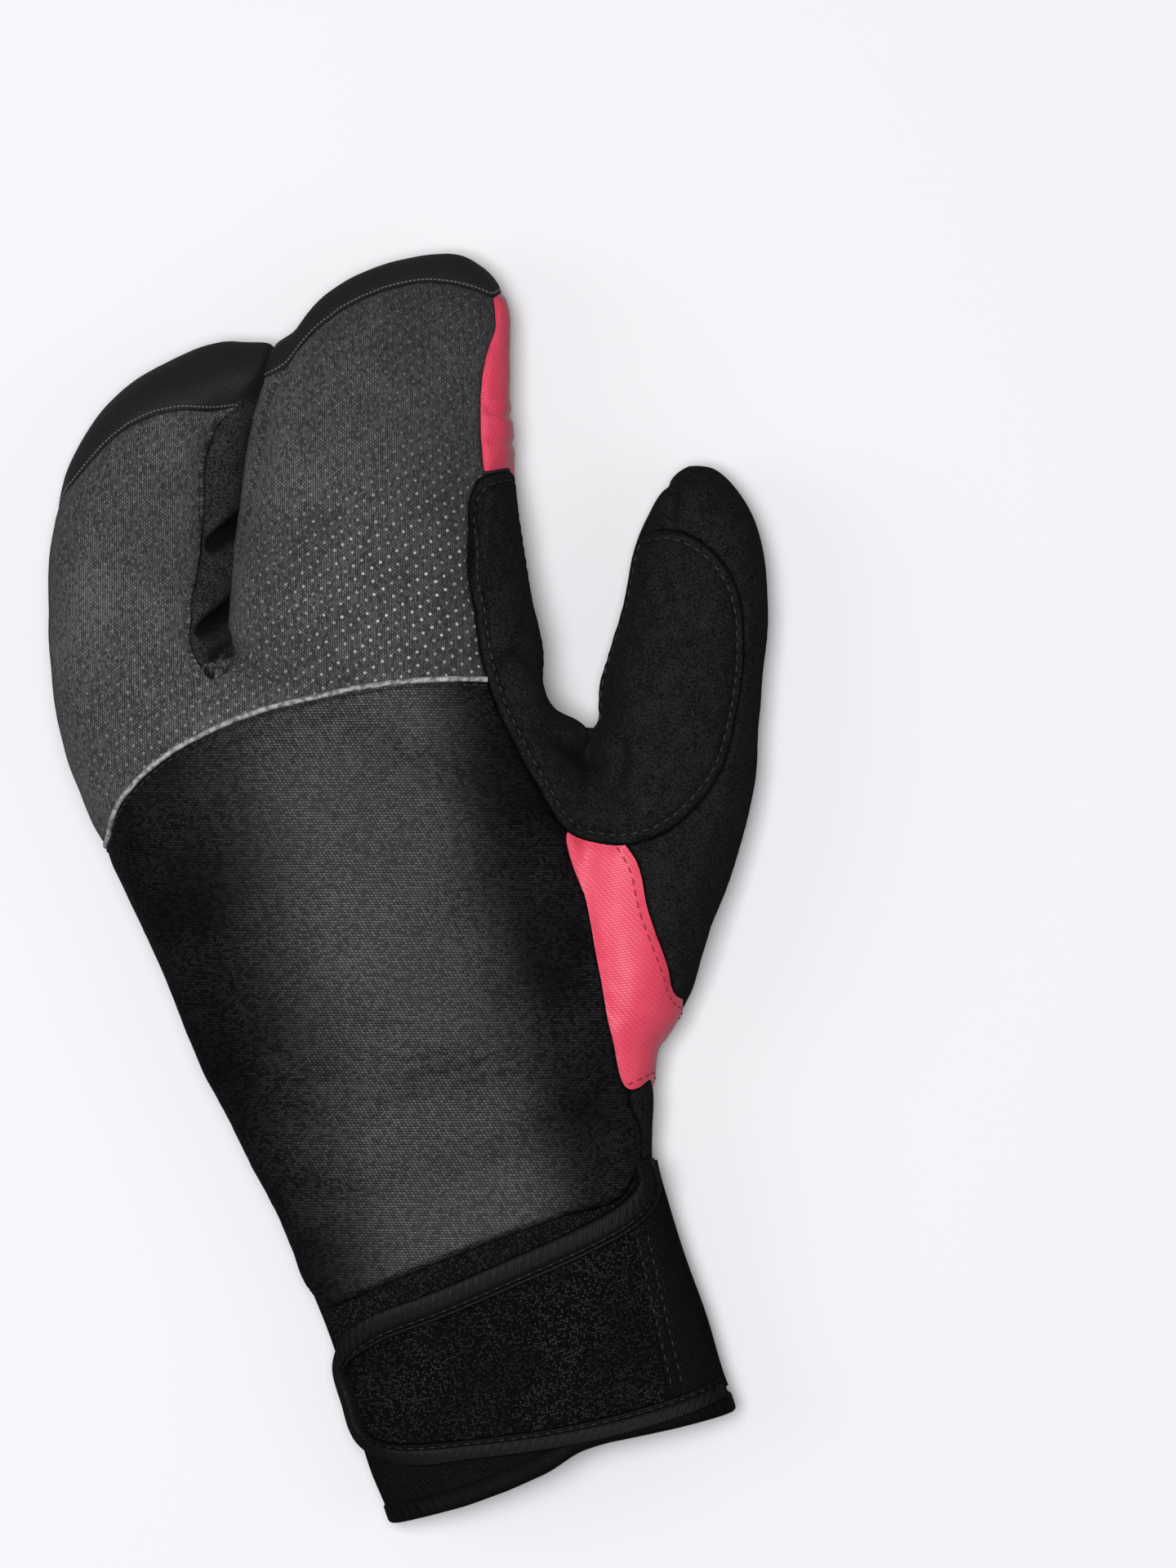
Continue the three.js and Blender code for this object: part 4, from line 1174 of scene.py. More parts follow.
def twillMaterial():
    material, tree = nodeTree("blackTwill")
    place3 = objectCoords(tree)
    rows = useGroup(tree, threadRows, uvOf(tree, math.radians(13)), Row_Pitch=0.00061,
                    Thread_Length=0.0009, Shift=0.38, Wobble=0.3)
    # Painted sheen: a broad band down the middle of the back panel and cloudy patches make the threads lighter and
    # raise the specular level, for the sheen of the overhead light
    shine = ramp(tree, noiseNode(tree, place3, 30, 2), 0.35, 0.7)
    split = tree.nodes.new("ShaderNodeSeparateXYZ")
    tree.links.new(place3, split.inputs[0])
    middle = math2(tree, "MULTIPLY", ramp(tree, split.outputs["X"], -0.062, -0.026),
                   ramp(tree, split.outputs["X"], 0.014, -0.006))
    light = math2(tree, "MULTIPLY", rows.outputs["Height"], math2(tree, "ADD", 0.15, rows.outputs["Tone"]))
    paintedSheenBand = math2(tree, "ADD", math2(tree, "MULTIPLY", middle, 0.75), math2(tree, "MULTIPLY", shine, 0.25))
    bright = math2(tree, "MULTIPLY", light, math2(tree, "ADD", 0.08, paintedSheenBand), clamp=True)
    base = mixColour(tree, bright, (0.0014, 0.0014, 0.0026), (0.088, 0.088, 0.096))
    # Painted shade: the twill darkens to near black in the seams and deep folds
    base = mixColour(tree, math2(tree, "MULTIPLY", creaseShadeOf(tree), 0.8), base, (0.001, 0.001, 0.0015))
    normal = addBump(tree, rows.outputs["Height"], 0.00010, 0.8)
    rough = math2(tree, "SUBTRACT", 0.52, math2(tree, "MULTIPLY", bright, 0.14))
    gloss = math2(tree, "ADD", 0.05, math2(tree, "MULTIPLY", middle, 0.30))
    shaderOf(tree, Base_Color=base, Roughness=rough, Specular_IOR_Level=gloss, Normal=normal)
    return material


def capMaterial():
    material, tree = nodeTree("blackFineKnit")
    rows = useGroup(tree, threadRows, uvOf(tree, math.radians(90)), Row_Pitch=0.0006,
                    Thread_Length=0.0009, Shift=0.5, Wobble=0.3)
    base = mixColour(tree, rows.outputs["Height"], (0.004, 0.004, 0.005), (0.015, 0.015, 0.018))
    # Painted shade: the cap knit darkens in the seams and deep folds
    base = mixColour(tree, math2(tree, "MULTIPLY", creaseShadeOf(tree), 0.6), base, (0.002, 0.002, 0.002))
    normal = addBump(tree, rows.outputs["Height"], 0.00014, 0.8)
    shaderOf(tree, Base_Color=base, Roughness=0.66, Sheen_Weight=0.03, Sheen_Roughness=0.4,
             Specular_IOR_Level=0.35, Normal=normal)
    return material


def suedeMaterial(name="blackSuede", light=0.027, edgeShadeStrength=0.85):
    material, tree = nodeTree(name)
    pile = useGroup(tree, nap, objectCoords(tree), Grain=2200.0, Cloud=260.0)
    share = ramp(tree, pile.outputs["Shade"], 0.42, 0.80)
    base = mixColour(tree, share, (0.003, 0.003, 0.0033), (light, light, 1.03 * light))
    # Painted shade: the suede darkens where it turns away at the edges and towards the floor at the bottom
    turned = tree.nodes.new("ShaderNodeLayerWeight")
    turned.inputs["Blend"].default_value = 0.42
    split = tree.nodes.new("ShaderNodeSeparateXYZ")
    tree.links.new(objectCoords(tree), split.inputs[0])
    low = math2(tree, "MULTIPLY", ramp(tree, split.outputs["Z"], 0.022, 0.014), 0.6)
    paintedEdgeShade = math2(tree, "MAXIMUM", math2(tree, "MULTIPLY", turned.outputs["Facing"], edgeShadeStrength), low)
    base = mixColour(tree, paintedEdgeShade, base, (0.004, 0.004, 0.0044))
    # Painted shade: the suede darkens to near black in the seams and deep folds
    base = mixColour(tree, math2(tree, "MULTIPLY", creaseShadeOf(tree), 0.85), base, (0.0015, 0.0015, 0.0015))
    normal = addBump(tree, pile.outputs["Height"], 0.00022, 0.7)
    shaderOf(tree, Base_Color=base, Roughness=0.95, Sheen_Weight=0.015, Sheen_Roughness=0.5,
             Specular_IOR_Level=0.04, Normal=normal)
    return material


def satinMaterial():
    material, tree = nodeTree("pinkSatin")
    rows = useGroup(tree, threadRows, uvOf(tree, math.radians(20)), Row_Pitch=0.00062,
                    Thread_Length=0.0013, Shift=0.34, Wobble=0.2)
    base = mixColour(tree, math2(tree, "MULTIPLY", rows.outputs["Height"], 0.9), (0.80, 0.045, 0.10),
                     (0.97, 0.10, 0.18))
    cloud = ramp(tree, noiseNode(tree, objectCoords(tree), 120, 2), 0.35, 0.7)
    base = mixColour(tree, math2(tree, "MULTIPLY", cloud, 0.2), base, (0.98, 0.16, 0.24))
    normal = addBump(tree, rows.outputs["Height"], 0.0001, 0.7)
    shaderOf(tree, Base_Color=base, Roughness=0.38, Sheen_Weight=0.35, Sheen_Roughness=0.3,
             Sheen_Tint=(1.0, 0.75, 0.8), Specular_IOR_Level=0.45, Normal=normal)
    return material


def cuffMaterial():
    material, tree = nodeTree("blackCuffKnit")
    uv = uvOf(tree)
    rows = useGroup(tree, threadRows, uvOf(tree, math.radians(90)), Row_Pitch=0.00075,
                    Thread_Length=0.001, Shift=0.5, Wobble=0.4)
    loops = useGroup(tree, flecks, uv, Spacing=0.0005, Size=0.5, Uneven=1.0, Rare=0.55)
    split = tree.nodes.new("ShaderNodeSeparateXYZ")
    tree.links.new(objectCoords(tree), split.inputs[0])
    pileArea = math2(tree, "MULTIPLY", ramp(tree, split.outputs["Z"], 0.012, 0.018),
                     ramp(tree, split.outputs["Y"], -0.118, -0.108))
    pileArea = math2(tree, "MULTIPLY", pileArea, ramp(tree, split.outputs["X"], 0.025, 0.019))
    speck = math2(tree, "MULTIPLY", loops.outputs["Mask"], math2(tree, "ADD", 0.25, pileArea), clamp=True)
    base = mixColour(tree, rows.outputs["Height"], (0.002, 0.002, 0.0022), (0.008, 0.008, 0.0085))
    base = mixColour(tree, speck, base, (0.10, 0.10, 0.097))
    normal = addBump(tree, rows.outputs["Height"], 0.00016, 0.8)
    shaderOf(tree, Base_Color=base, Roughness=0.85, Specular_IOR_Level=0.05, Normal=normal)
    return material


def pileMaterial():
    material, tree = nodeTree("blackLoopPile")
    uv = uvOf(tree)
    loops = useGroup(tree, flecks, uv, Spacing=0.00062, Size=0.62, Uneven=0.55, Rare=0.0)
    tiny = useGroup(tree, flecks, uv, Spacing=0.00062, Size=0.42, Uneven=0.55, Rare=0.42)
    cloud = ramp(tree, noiseNode(tree, objectCoords(tree), 60, 3), 0.3, 0.75)
    base = mixColour(tree, loops.outputs["Mask"], (0.002, 0.002, 0.0022), (0.014, 0.014, 0.014))
    spark = math2(tree, "MULTIPLY", tiny.outputs["Mask"], math2(tree, "ADD", 0.35, cloud))
    base = mixColour(tree, math2(tree, "MULTIPLY", spark, 1.0, clamp=True), base, (0.13, 0.13, 0.127))
    normal = addBump(tree, loops.outputs["Mask"], 0.0004, 1.0)
    shaderOf(tree, Base_Color=base, Roughness=0.9, Specular_IOR_Level=0.05, Normal=normal)
    return material


def tapeMaterial(name="blackRibbedTape", shine=0.14):
    material, tree = nodeTree(name)
    rows = useGroup(tree, threadRows, uvOf(tree, math.radians(-65)), Row_Pitch=0.00055,
                    Thread_Length=0.012, Shift=0.3, Wobble=0.05)
    base = mixColour(tree, rows.outputs["Height"], (0.002, 0.002, 0.0024), (0.007, 0.007, 0.008))
    normal = addBump(tree, rows.outputs["Height"], 0.00012, 0.8)
    shaderOf(tree, Base_Color=base, Roughness=0.5, Specular_IOR_Level=shine, Normal=normal)
    return material


def pipingMaterial():
    material, tree = nodeTree("greyPiping")
    rows = useGroup(tree, threadRows, uvOf(tree), Row_Pitch=0.0016, Thread_Length=0.0006, Shift=0.3,
                    Wobble=0.5)
    # A random mottle between dark and light grey
    greyMottle = ramp(tree, noiseNode(tree, objectCoords(tree), 700, 3), 0.35, 0.65)
    base = mixColour(tree, greyMottle, (0.16, 0.16, 0.17), (0.52, 0.52, 0.54))
    normal = addBump(tree, rows.outputs["Height"], 0.0002, 0.8)
    shaderOf(tree, Base_Color=base, Roughness=0.4, Specular_IOR_Level=0.5, Normal=normal)
    return material


def threadMaterial(name, colour, rough=0.6):
    material, tree = nodeTree(name)
    twist = noiseNode(tree, objectCoords(tree), 3000, 2)
    darker = tuple(0.55 * c for c in colour)
    base = mixColour(tree, twist, darker, colour)
    shaderOf(tree, Base_Color=base, Roughness=rough, Normal=addBump(tree, twist, 0.0001, 0.6))
    return material


def gripMaterial():
    material, tree = nodeTree("blackRubberGrip")
    fine = noiseNode(tree, objectCoords(tree), 1200, 2)
    base = mixColour(tree, fine, (0.006, 0.006, 0.007), (0.011, 0.011, 0.013))
    shaderOf(tree, Base_Color=base, Roughness=0.28, Normal=addBump(tree, fine, 0.00004, 0.5))
    return material


materials = {
    "knit": knitMaterial(), "twill": twillMaterial(), "cap_knit": capMaterial(),
    # The gusset's suede is a lighter copy with less painted edge shade: painted light, where the strip is lit
    "suede": suedeMaterial(), "paintedLightSuede": suedeMaterial("paintedLightSuede", 0.062, 0.6), "satin": satinMaterial(), "cuff_knit": cuffMaterial(),
    "loop_pile": pileMaterial(), "tape": tapeMaterial(),
    "hem": tapeMaterial("blackHemTape", 0.04), "piping": pipingMaterial(),
    "greyThread": threadMaterial("greyThread", (0.17, 0.17, 0.18)),
    "darkThread": threadMaterial("darkThread", (0.018, 0.018, 0.019)),
    "blackThread": threadMaterial("blackThread", (0.006, 0.006, 0.007)),
    "pinkThread": threadMaterial("pinkThread", (0.55, 0.03, 0.07)),
    "grip": gripMaterial(),
}
print("materials are ready")

slots = {
    "finger_panel": "knit", "back_panel": "twill", "cap_outer": "cap_knit", "cap_index": "cap_knit",
    "index_accent": "satin", "wrist_accent": "satin", "finger_gusset": "suede",
    "thumb_saddle": "suede", "thumb_side": "suede", "thumb_inner": "suede",
    "palm_fingers": "suede", "palm_heel": "suede", "cuff": "cuff_knit",
}


def finishPiece(obj, material, smooth=60):
    obj.data.materials.clear()
    obj.data.materials.append(material)
    bpy.ops.object.select_all(action="DESELECT")
    obj.select_set(True)
    bpy.context.view_layer.objects.active = obj
    bpy.ops.object.shade_smooth_by_angle(angle=math.radians(smooth))
    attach(obj, "root")
    return obj


def unrolledUv(obj, rolled):
    # Seen from above, with the rounded edges rolled out flat, so that the weave keeps its size
    layer = obj.data.uv_layers.new(name="cloth")
    points = pointsOf(obj)
    normals = relaxed(normalsOf(obj), edgesOf(obj), 6)
    flat = points[:, :2].copy()
    if rolled:
        turned = np.arctan2(normals[:, 0], normals[:, 2])
        flat[:, 0] += 15 * mm * (turned - np.sin(turned))
    tipped = np.clip(normals[:, 1], -1, 1)
    flat[:, 1] += 15 * mm * (np.arcsin(tipped) - tipped)
    loops = np.empty(len(obj.data.loops), np.int32)
    obj.data.loops.foreach_get("vertex_index", loops)
    layer.data.foreach_set("uv", flat[loops].ravel())


def flattenedUv(obj, tube=False):
    # The panel's flat pattern in metres, turned so that the weave runs along the mitt
    mesh = obj.data
    layer = mesh.uv_layers.new(name="cloth")
    points = pointsOf(obj)
    loops = np.empty(len(mesh.loops), np.int32)
    mesh.loops.foreach_get("vertex_index", loops)
    if tube:
        middle = points.mean(axis=0)
        angle = np.arctan2((points[:, 2] - middle[2]) * 1.6, points[:, 0] - middle[0])
        flat = np.stack([angle * 32 * mm, points[:, 1]], axis=1)[loops]
        layer.data.foreach_set("uv", flat.ravel())
        return
    bpy.ops.object.select_all(action="DESELECT")
    obj.select_set(True)
    bpy.context.view_layer.objects.active = obj
    bpy.ops.object.mode_set(mode="EDIT")
    bpy.ops.mesh.select_all(action="SELECT")
    bpy.ops.uv.unwrap(method="CONFORMAL", margin=0)
    bpy.ops.object.mode_set(mode="OBJECT")
    layer = mesh.uv_layers["cloth"]
    flat = np.empty(len(loops) * 2)
    layer.data.foreach_get("uv", flat)
    flat = flat.reshape(-1, 2)
    spot = points[loops][:, :2]
    u = flat - flat.mean(axis=0)
    p = spot - spot.mean(axis=0)
    edge = edgesOf(obj)
    firstUv = np.zeros((len(points), 2))
    firstUv[loops] = flat
    real = np.linalg.norm(points[edge[:, 0]] - points[edge[:, 1]], axis=1).sum()
    drawn = np.linalg.norm(firstUv[edge[:, 0]] - firstUv[edge[:, 1]], axis=1).sum()
    cross = u.T @ p
    turn = math.atan2(cross[0, 1] - cross[1, 0], cross[0, 0] + cross[1, 1])
    if abs(np.linalg.det(cross)) > 0 and np.linalg.det(cross) < 0:
        u = u * np.array([-1, 1])
        cross = u.T @ p
        turn = math.atan2(cross[0, 1] - cross[1, 0], cross[0, 0] + cross[1, 1])
    spin = np.array([[math.cos(turn), math.sin(turn)], [-math.sin(turn), math.cos(turn)]])
    result = (u @ spin) * (real / max(drawn, 1e-9))
    layer.data.foreach_set("uv", result.ravel())


def makePanel(name):
    points = pointsOf(skin)
    faces = [f for f, who in zip(faceVerts, faceOwner) if who == name]
    used = sorted({i for f in faces for i in f})
    local = {i: k for k, i in enumerate(used)}
    obj = meshObject(name + "_cloth", points[used], [[local[i] for i in f] for f in faces])
    # The seam distance and the crease shade (attribute fold) carry painted shade to the materials
    seam = obj.data.attributes.new("seam", "FLOAT", "POINT")
    seam.data.foreach_set("value", np.ascontiguousarray(seamGaps[used], np.float32))
    shade = obj.data.attributes.new("fold", "FLOAT", "POINT")
    shade.data.foreach_set("value", np.ascontiguousarray(paintedCreaseShade[used], np.float32))
    bm = bmesh.new()
    bm.from_mesh(obj.data)
    for vert in [v for v in bm.verts if v.is_boundary]:
        inner = [e.other_vert(vert) for e in vert.link_edges if not e.is_boundary]
        if inner:
            way = sum((v.co - vert.co for v in inner), Vector()) / len(inner)
            if way.length > 0.1 * mm:
                vert.co += way.normalized() * mitt["seamGap"]
    bm.to_mesh(obj.data)
    bm.free()
    if slots[name] in ("knit", "twill", "cap_knit"):
        unrolledUv(obj, rolled=slots[name] != "cap_knit")
    else:
        flattenedUv(obj, tube=name == "cuff")
    applied(obj, "SOLIDIFY", thickness=mitt["wall"], offset=-1, use_rim=True)
    finishPiece(obj, materials[slots[name]])
    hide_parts(name)
    return obj


panels = {name: makePanel(name) for name in sorted(slots)}
# The gusset strip takes the lighter suede: painted light
panels["finger_gusset"].data.materials[0] = materials["paintedLightSuede"]
print("panels are sewn")


# Lines over the skin

def nearestOnSkin(points):
    spots, normals = [], []
    for p in points:
        spot, normal, _, _ = skinTree.find_nearest(Vector(p))
        spots.append(spot[:])
        normals.append(normal[:])
    return np.array(spots), np.array(normals)


def dropped(points, fromTop=True):
    # Lays a line given in plan on the back of the mitt, or on its palm side
    spots, normals = [], []
    for x, y in points:
        start = Vector((x, y, 0.1 if fromTop else -0.05))
        spot, normal, _, _ = skinTree.ray_cast(start, Vector((0, 0, -1 if fromTop else 1)))
        if spot is None:
            spot, normal, _, _ = skinTree.find_nearest(Vector((x, y, 0.4 * mitt["depth"])))
        spots.append(spot[:])
        normals.append(normal[:])
    return np.array(spots), np.array(normals)


def chained(links):
    neighbours = {}
    for a, b in links:
        neighbours.setdefault(a, []).append(b)
        neighbours.setdefault(b, []).append(a)
    left = set(neighbours)
    chains = []
    while left:
        ends = [v for v in left if len([n for n in neighbours[v] if n in left]) == 1]
        start = ends[0] if ends else next(iter(left))
        chain = [start]
        left.discard(start)
        while True:
            onward = [n for n in neighbours[chain[-1]] if n in left]
            if not onward:
                break
            chain.append(onward[0])
            left.discard(onward[0])
        if len(chain) > 4:
            chains.append(chain)
    return sorted(chains, key=len, reverse=True)


def evenly(points, step, smooth=3):
    points = np.asarray(points, float)
    for _ in range(smooth):
        points[1:-1] = 0.25 * points[:-2] + 0.5 * points[1:-1] + 0.25 * points[2:]
    travel = np.concatenate([[0], np.cumsum(np.linalg.norm(np.diff(points, axis=0), axis=1))])
    count = max(int(travel[-1] / step), 2)
    at = np.linspace(0, travel[-1], count + 1)
    return np.stack([np.interp(at, travel, points[:, c]) for c in range(3)], axis=1)


def seamLines(first, second, step=0.8 * mm):
    pair = tuple(sorted((first, second)))
    points = pointsOf(skin)
    return [evenly(points[chain], step, 6) for chain in chained(seamPairs.get(pair, []))]


def offsetLines(panel, others, distance, step=0.8 * mm, shortest=8 * mm):
    # Lines on a panel at one distance from its seams with the named neighbours
    pairs = [tuple(sorted((panel, other))) for other in others]
    pairs = [pair for pair in pairs if pair in seamPairs]
    if not pairs:
        return []
    points = pointsOf(skin)
    tree = seamTree(pairs)
    faces = [f for f, who in zip(faceVerts, faceOwner) if who == panel]
    used = sorted({i for f in faces for i in f})
    value = dict(zip(used, distancesTo(tree, points[used]) - distance))
    links, spots = [], {}
    for face in faces:
        crossing = []
        for a, b in zip(face, face[1:] + face[:1]):
            if (value[a] < 0) != (value[b] < 0):
                key = (min(a, b), max(a, b))
                t = value[key[0]] / (value[key[0]] - value[key[1]])
                spots[key] = points[key[0]] * (1 - t) + points[key[1]] * t
                crossing.append(key)
        if len(crossing) == 2:
            links.append(tuple(crossing))
    lines = []
    for chain in chained(links):
        line = evenly(np.array([spots[key] for key in chain]), step, 6)
        if np.linalg.norm(np.diff(line, axis=0), axis=1).sum() > shortest:
            lines.append(line)
    return lines


def crossNormals(line, normals):
    along = np.gradient(line, axis=0)
    along /= np.maximum(np.linalg.norm(along, axis=1, keepdims=True), 1e-12)
    normals = normals - (normals * along).sum(axis=1, keepdims=True) * along
    normals /= np.maximum(np.linalg.norm(normals, axis=1, keepdims=True), 1e-12)
    return along, normals, np.cross(along, normals)


def sweep(name, line, normals, profile, closed=False, widths=1.0):
    # Carries a closed profile, points across and up, along a line that lies on the mitt
    for _ in range(4):
        normals[1:-1] = (normals[:-2] + 2 * normals[1:-1] + normals[2:]) / 4
    along, up, side = crossNormals(line, normals)
    profile = np.asarray(profile, float)
    widths = np.broadcast_to(widths, len(line))[:, None, None]
    points = (line[:, None] + widths * profile[None, :, 0, None] * side[:, None]
              + profile[None, :, 1, None] * up[:, None])
    count, sides = points.shape[:2]
    faces = gridFaces(count, sides)
    if closed:
        last = (count - 1) * sides
        faces += [(last + i, last + (i + 1) % sides, (i + 1) % sides, i) for i in range(sides)]
    else:
        faces += [tuple(range(sides))[::-1], tuple(range((count - 1) * sides, count * sides))]
    obj = meshObject(name, points.reshape(-1, 3), faces)
    travel = np.concatenate([[0], np.cumsum(np.linalg.norm(np.diff(line, axis=0), axis=1))])
    around = np.linalg.norm(np.diff(np.vstack([profile, profile[:1]]), axis=0), axis=1)
    around = np.concatenate([[0], np.cumsum(around)[:-1]])
    uv = np.stack(np.broadcast_arrays(travel[:, None], around[None]), axis=2).reshape(-1, 2)
    layer = obj.data.uv_layers.new(name="cloth")
    loops = np.empty(len(obj.data.loops), np.int32)
    obj.data.loops.foreach_get("vertex_index", loops)
    layer.data.foreach_set("uv", uv[loops].ravel())
    fixNormals(obj)
    return obj


def fixNormals(obj):
    bm = bmesh.new()
    bm.from_mesh(obj.data)
    bmesh.ops.recalc_face_normals(bm, faces=bm.faces)
    bm.to_mesh(obj.data)
    bm.free()


def roundProfile(wide, thick, lift=0.0, sides=12, power=0.7):
    turn = np.linspace(0, 2 * math.pi, sides, endpoint=False)
    across = np.sign(np.cos(turn)) * np.abs(np.cos(turn))**power * wide / 2
    up = np.sign(np.sin(turn)) * np.abs(np.sin(turn))**power * thick / 2
    return np.stack([across, up + lift], axis=1)


def joinPieces(name, pieces):
    bpy.ops.object.select_all(action="DESELECT")
    for obj in pieces:
        obj.select_set(True)
    bpy.context.view_layer.objects.active = pieces[0]
    if len(pieces) > 1:
        bpy.ops.object.join()
    pieces[0].name = name
    pieces[0].data.name = name
    return pieces[0]


piping = {"radius": 0.68 * mm, "rise": 0.30 * mm}


def makePiping():
    line = seamLines("finger_panel", "back_panel", 0.7 * mm)[0]
    spots, normals = nearestOnSkin(line)
    profile = roundProfile(2 * piping["radius"], 2 * piping["radius"], piping["rise"], 10, 1.0)
    obj = sweep("knuckle_piping_tube", spots, normals, profile)
    finishPiece(obj, materials["piping"])
    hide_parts("knuckle_piping")


makePiping()


# Stitches: one small loop of thread, copied along every row

stitch = {"length": 2.0 * mm, "pitch": 2.7 * mm, "radius": 0.28 * mm, "sink": 0.06 * mm}


def stitchShape():
    bpy.ops.mesh.primitive_uv_sphere_add(segments=6, ring_count=5, radius=1)
    model = bpy.context.object
    points = pointsOf(model)
    faces = [tuple(p.vertices) for p in model.data.polygons]
    bpy.data.objects.remove(model)
    return points[:, [2, 0, 1]], faces


stitchPoints, stitchFaces = stitchShape()


def stitchRows(name, lines, material, scale=1.0, pitch=None, onSkin=True):
    points, faces = [], []
    step = pitch or stitch["pitch"]
    size = np.array([stitch["length"] / 2, stitch["radius"], stitch["radius"]]) * scale
    if pitch:
        size[0] = pitch * 0.40
    for line in lines:
        line = evenly(line, step, 0)
        middles = (line[:-1] + line[1:]) / 2
        along = line[1:] - line[:-1]
        along /= np.maximum(np.linalg.norm(along, axis=1, keepdims=True), 1e-12)
        spots, normals = nearestOnSkin(middles)
        if not onSkin:
            spots = middles
        side = np.cross(normals, along)
        side /= np.maximum(np.linalg.norm(side, axis=1, keepdims=True), 1e-12)
        up = np.cross(along, side)
        for k in range(len(middles)):
            turn = np.stack([along[k], side[k], up[k]])
            centre = spots[k] + up[k] * (size[2] * 0.5 - stitch["sink"])
            start = len(points) * len(stitchPoints)
            centre[2] = max(centre[2], 0)
            points.append((stitchPoints * size) @ turn + centre)
            faces += [tuple(i + start for i in f) for f in stitchFaces]
    if not points:
        print("no line for", name)
        return None
    obj = meshObject(name, np.vstack(points), faces)
    return finishPiece(obj, materials[material])


def allNeighbours(panel):
    return sorted({other for pair in seamPairs if panel in pair for other in pair if other != panel})


def makeStitches():
    stitchRows("saddle_stitches", offsetLines("thumb_saddle", allNeighbours("thumb_saddle"), 2.3 * mm),
               "darkThread")
    palm = offsetLines("palm_fingers", ["palm_heel"], 1.5 * mm)
    palm += offsetLines("palm_heel", ["palm_fingers"], 1.5 * mm)
    palm += offsetLines("palm_heel", ["thumb_inner"], 1.5 * mm)
    palm += offsetLines("thumb_inner", ["palm_heel"], 1.5 * mm)
    stitchRows("palm_stitches", palm, "greyThread", 0.9)
    stitchRows("wrist_accent_stitches",
               offsetLines("wrist_accent", ["thumb_side", "palm_heel", "thumb_inner"], 2.2 * mm),
               "pinkThread", 0.9)
    knuckle = offsetLines("back_panel", ["finger_panel"], 1.5 * mm)
    stitchRows("knuckle_stitches", knuckle, "blackThread", 1.1, 2.2 * mm)
    caps = offsetLines("cap_outer", ["finger_panel"], 0.9 * mm)
    caps += offsetLines("cap_index", ["finger_panel"], 0.9 * mm)
    stitchRows("cap_edge_stitches", caps, "greyThread", 0.75, 0.95 * mm)
    fingerTips = offsetLines("palm_fingers", ["cap_outer", "index_accent"], 1.6 * mm)
    stitchRows("finger_tip_stitches", fingerTips, "darkThread", 0.8)
    gusset = offsetLines("finger_gusset", ["finger_panel"], 0.8 * mm)
    stitchRows("gusset_stitches", gusset, "darkThread", 0.7, 1.8 * mm)
    notch = [[(-42, 64.5), (-40.5, 61), (-37.5, 59.2)], [(-38.8, 59.6), (-37.2, 62.4), (-34.6, 61.4)]]
    tacks = []
    for line in notch:
        plan = [(mitt["wrist"][0] + x * mm, mitt["wrist"][1] + (y + 141.5) * mm) for x, y in line]
        tacks.append(dropped(plan)[0])
    stitchRows("slot_tack", tacks, "greyThread", 0.7, 1.1 * mm)


makeStitches()
print("stitches are in")


# Cuff: the hem tape, the seam up its palm side, and the closure

hem = {"height": 2.8 * mm}


def hemRing():
    # The cuff's edge, in order round the opening
    points = pointsOf(skin)
    count = {}
    for face in faceVerts:
        for a, b in zip(face, face[1:] + face[:1]):
            key = (min(a, b), max(a, b))
            count[key] = count.get(key, 0) + 1
    chain = chained([key for key, n in count.items() if n == 1])[0]
    ring = points[chain]
    return evenly(np.vstack([ring, ring[:1]]), 1.0 * mm, 8)[:-1]


def makeHem():
    ring = hemRing()
    spots, normals = nearestOnSkin(ring)
    normals[:, 1] = 0
    normals /= np.linalg.norm(normals, axis=1, keepdims=True)
    for _ in range(12):
        normals = (np.roll(normals, 1, axis=0) + 2 * normals + np.roll(normals, -1, axis=0)) / 4
    high = hem["height"]
    turn = np.linspace(-math.pi / 2, math.pi / 2, 7)
    outer, inner = 0.75 * mm, -mitt["wall"] - 0.75 * mm
    middle = (outer + inner) / 2
    lip = (outer - inner) / 2
    edge = [(middle + lip * math.sin(a), -0.4 * mm - 1.1 * mm * math.cos(a)) for a in turn]
    profile = [(inner, high * 0.8)] + edge + [(outer, high), (outer - 0.5 * mm, high + 0.5 * mm),
                                              (-0.2 * mm, high + 0.3 * mm),
                                              (inner + 0.5 * mm, high * 0.8 + 0.4 * mm)]
    profile = np.array(profile)
    slope = np.array([-bodyRows[1][5], 1, 0])
    slope /= np.linalg.norm(slope)
    points = ring[:, None] + profile[None, :, 0, None] * normals[:, None] \
        + profile[None, :, 1, None] * slope[None, None]
    points[:, :, 2] = np.maximum(points[:, :, 2], -0.12 * mm)
    count, sides = points.shape[:2]
    faces = gridFaces(count, sides)
    last = (count - 1) * sides
    faces += [(last + i, last + (i + 1) % sides, (i + 1) % sides, i) for i in range(sides)]
    obj = meshObject("cuff_hem_tape", points.reshape(-1, 3), faces)
    travel = np.arange(count) * 1.0 * mm
    around = np.linspace(0, 14 * mm, sides)
    uv = np.stack(np.broadcast_arrays(travel[:, None], around[None]), axis=2).reshape(-1, 2)
    layer = obj.data.uv_layers.new(name="cloth")
    loops = np.empty(len(obj.data.loops), np.int32)
    obj.data.loops.foreach_get("vertex_index", loops)
    flat = uv[loops]
    closing = np.arange(len(loops)) >= 4 * last
    flat[closing & (loops < sides), 0] += count * 1.0 * mm
    layer.data.foreach_set("uv", flat.ravel())
    fixNormals(obj)
    finishPiece(obj, materials["hem"])
    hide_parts("cuff_binding")


makeHem()

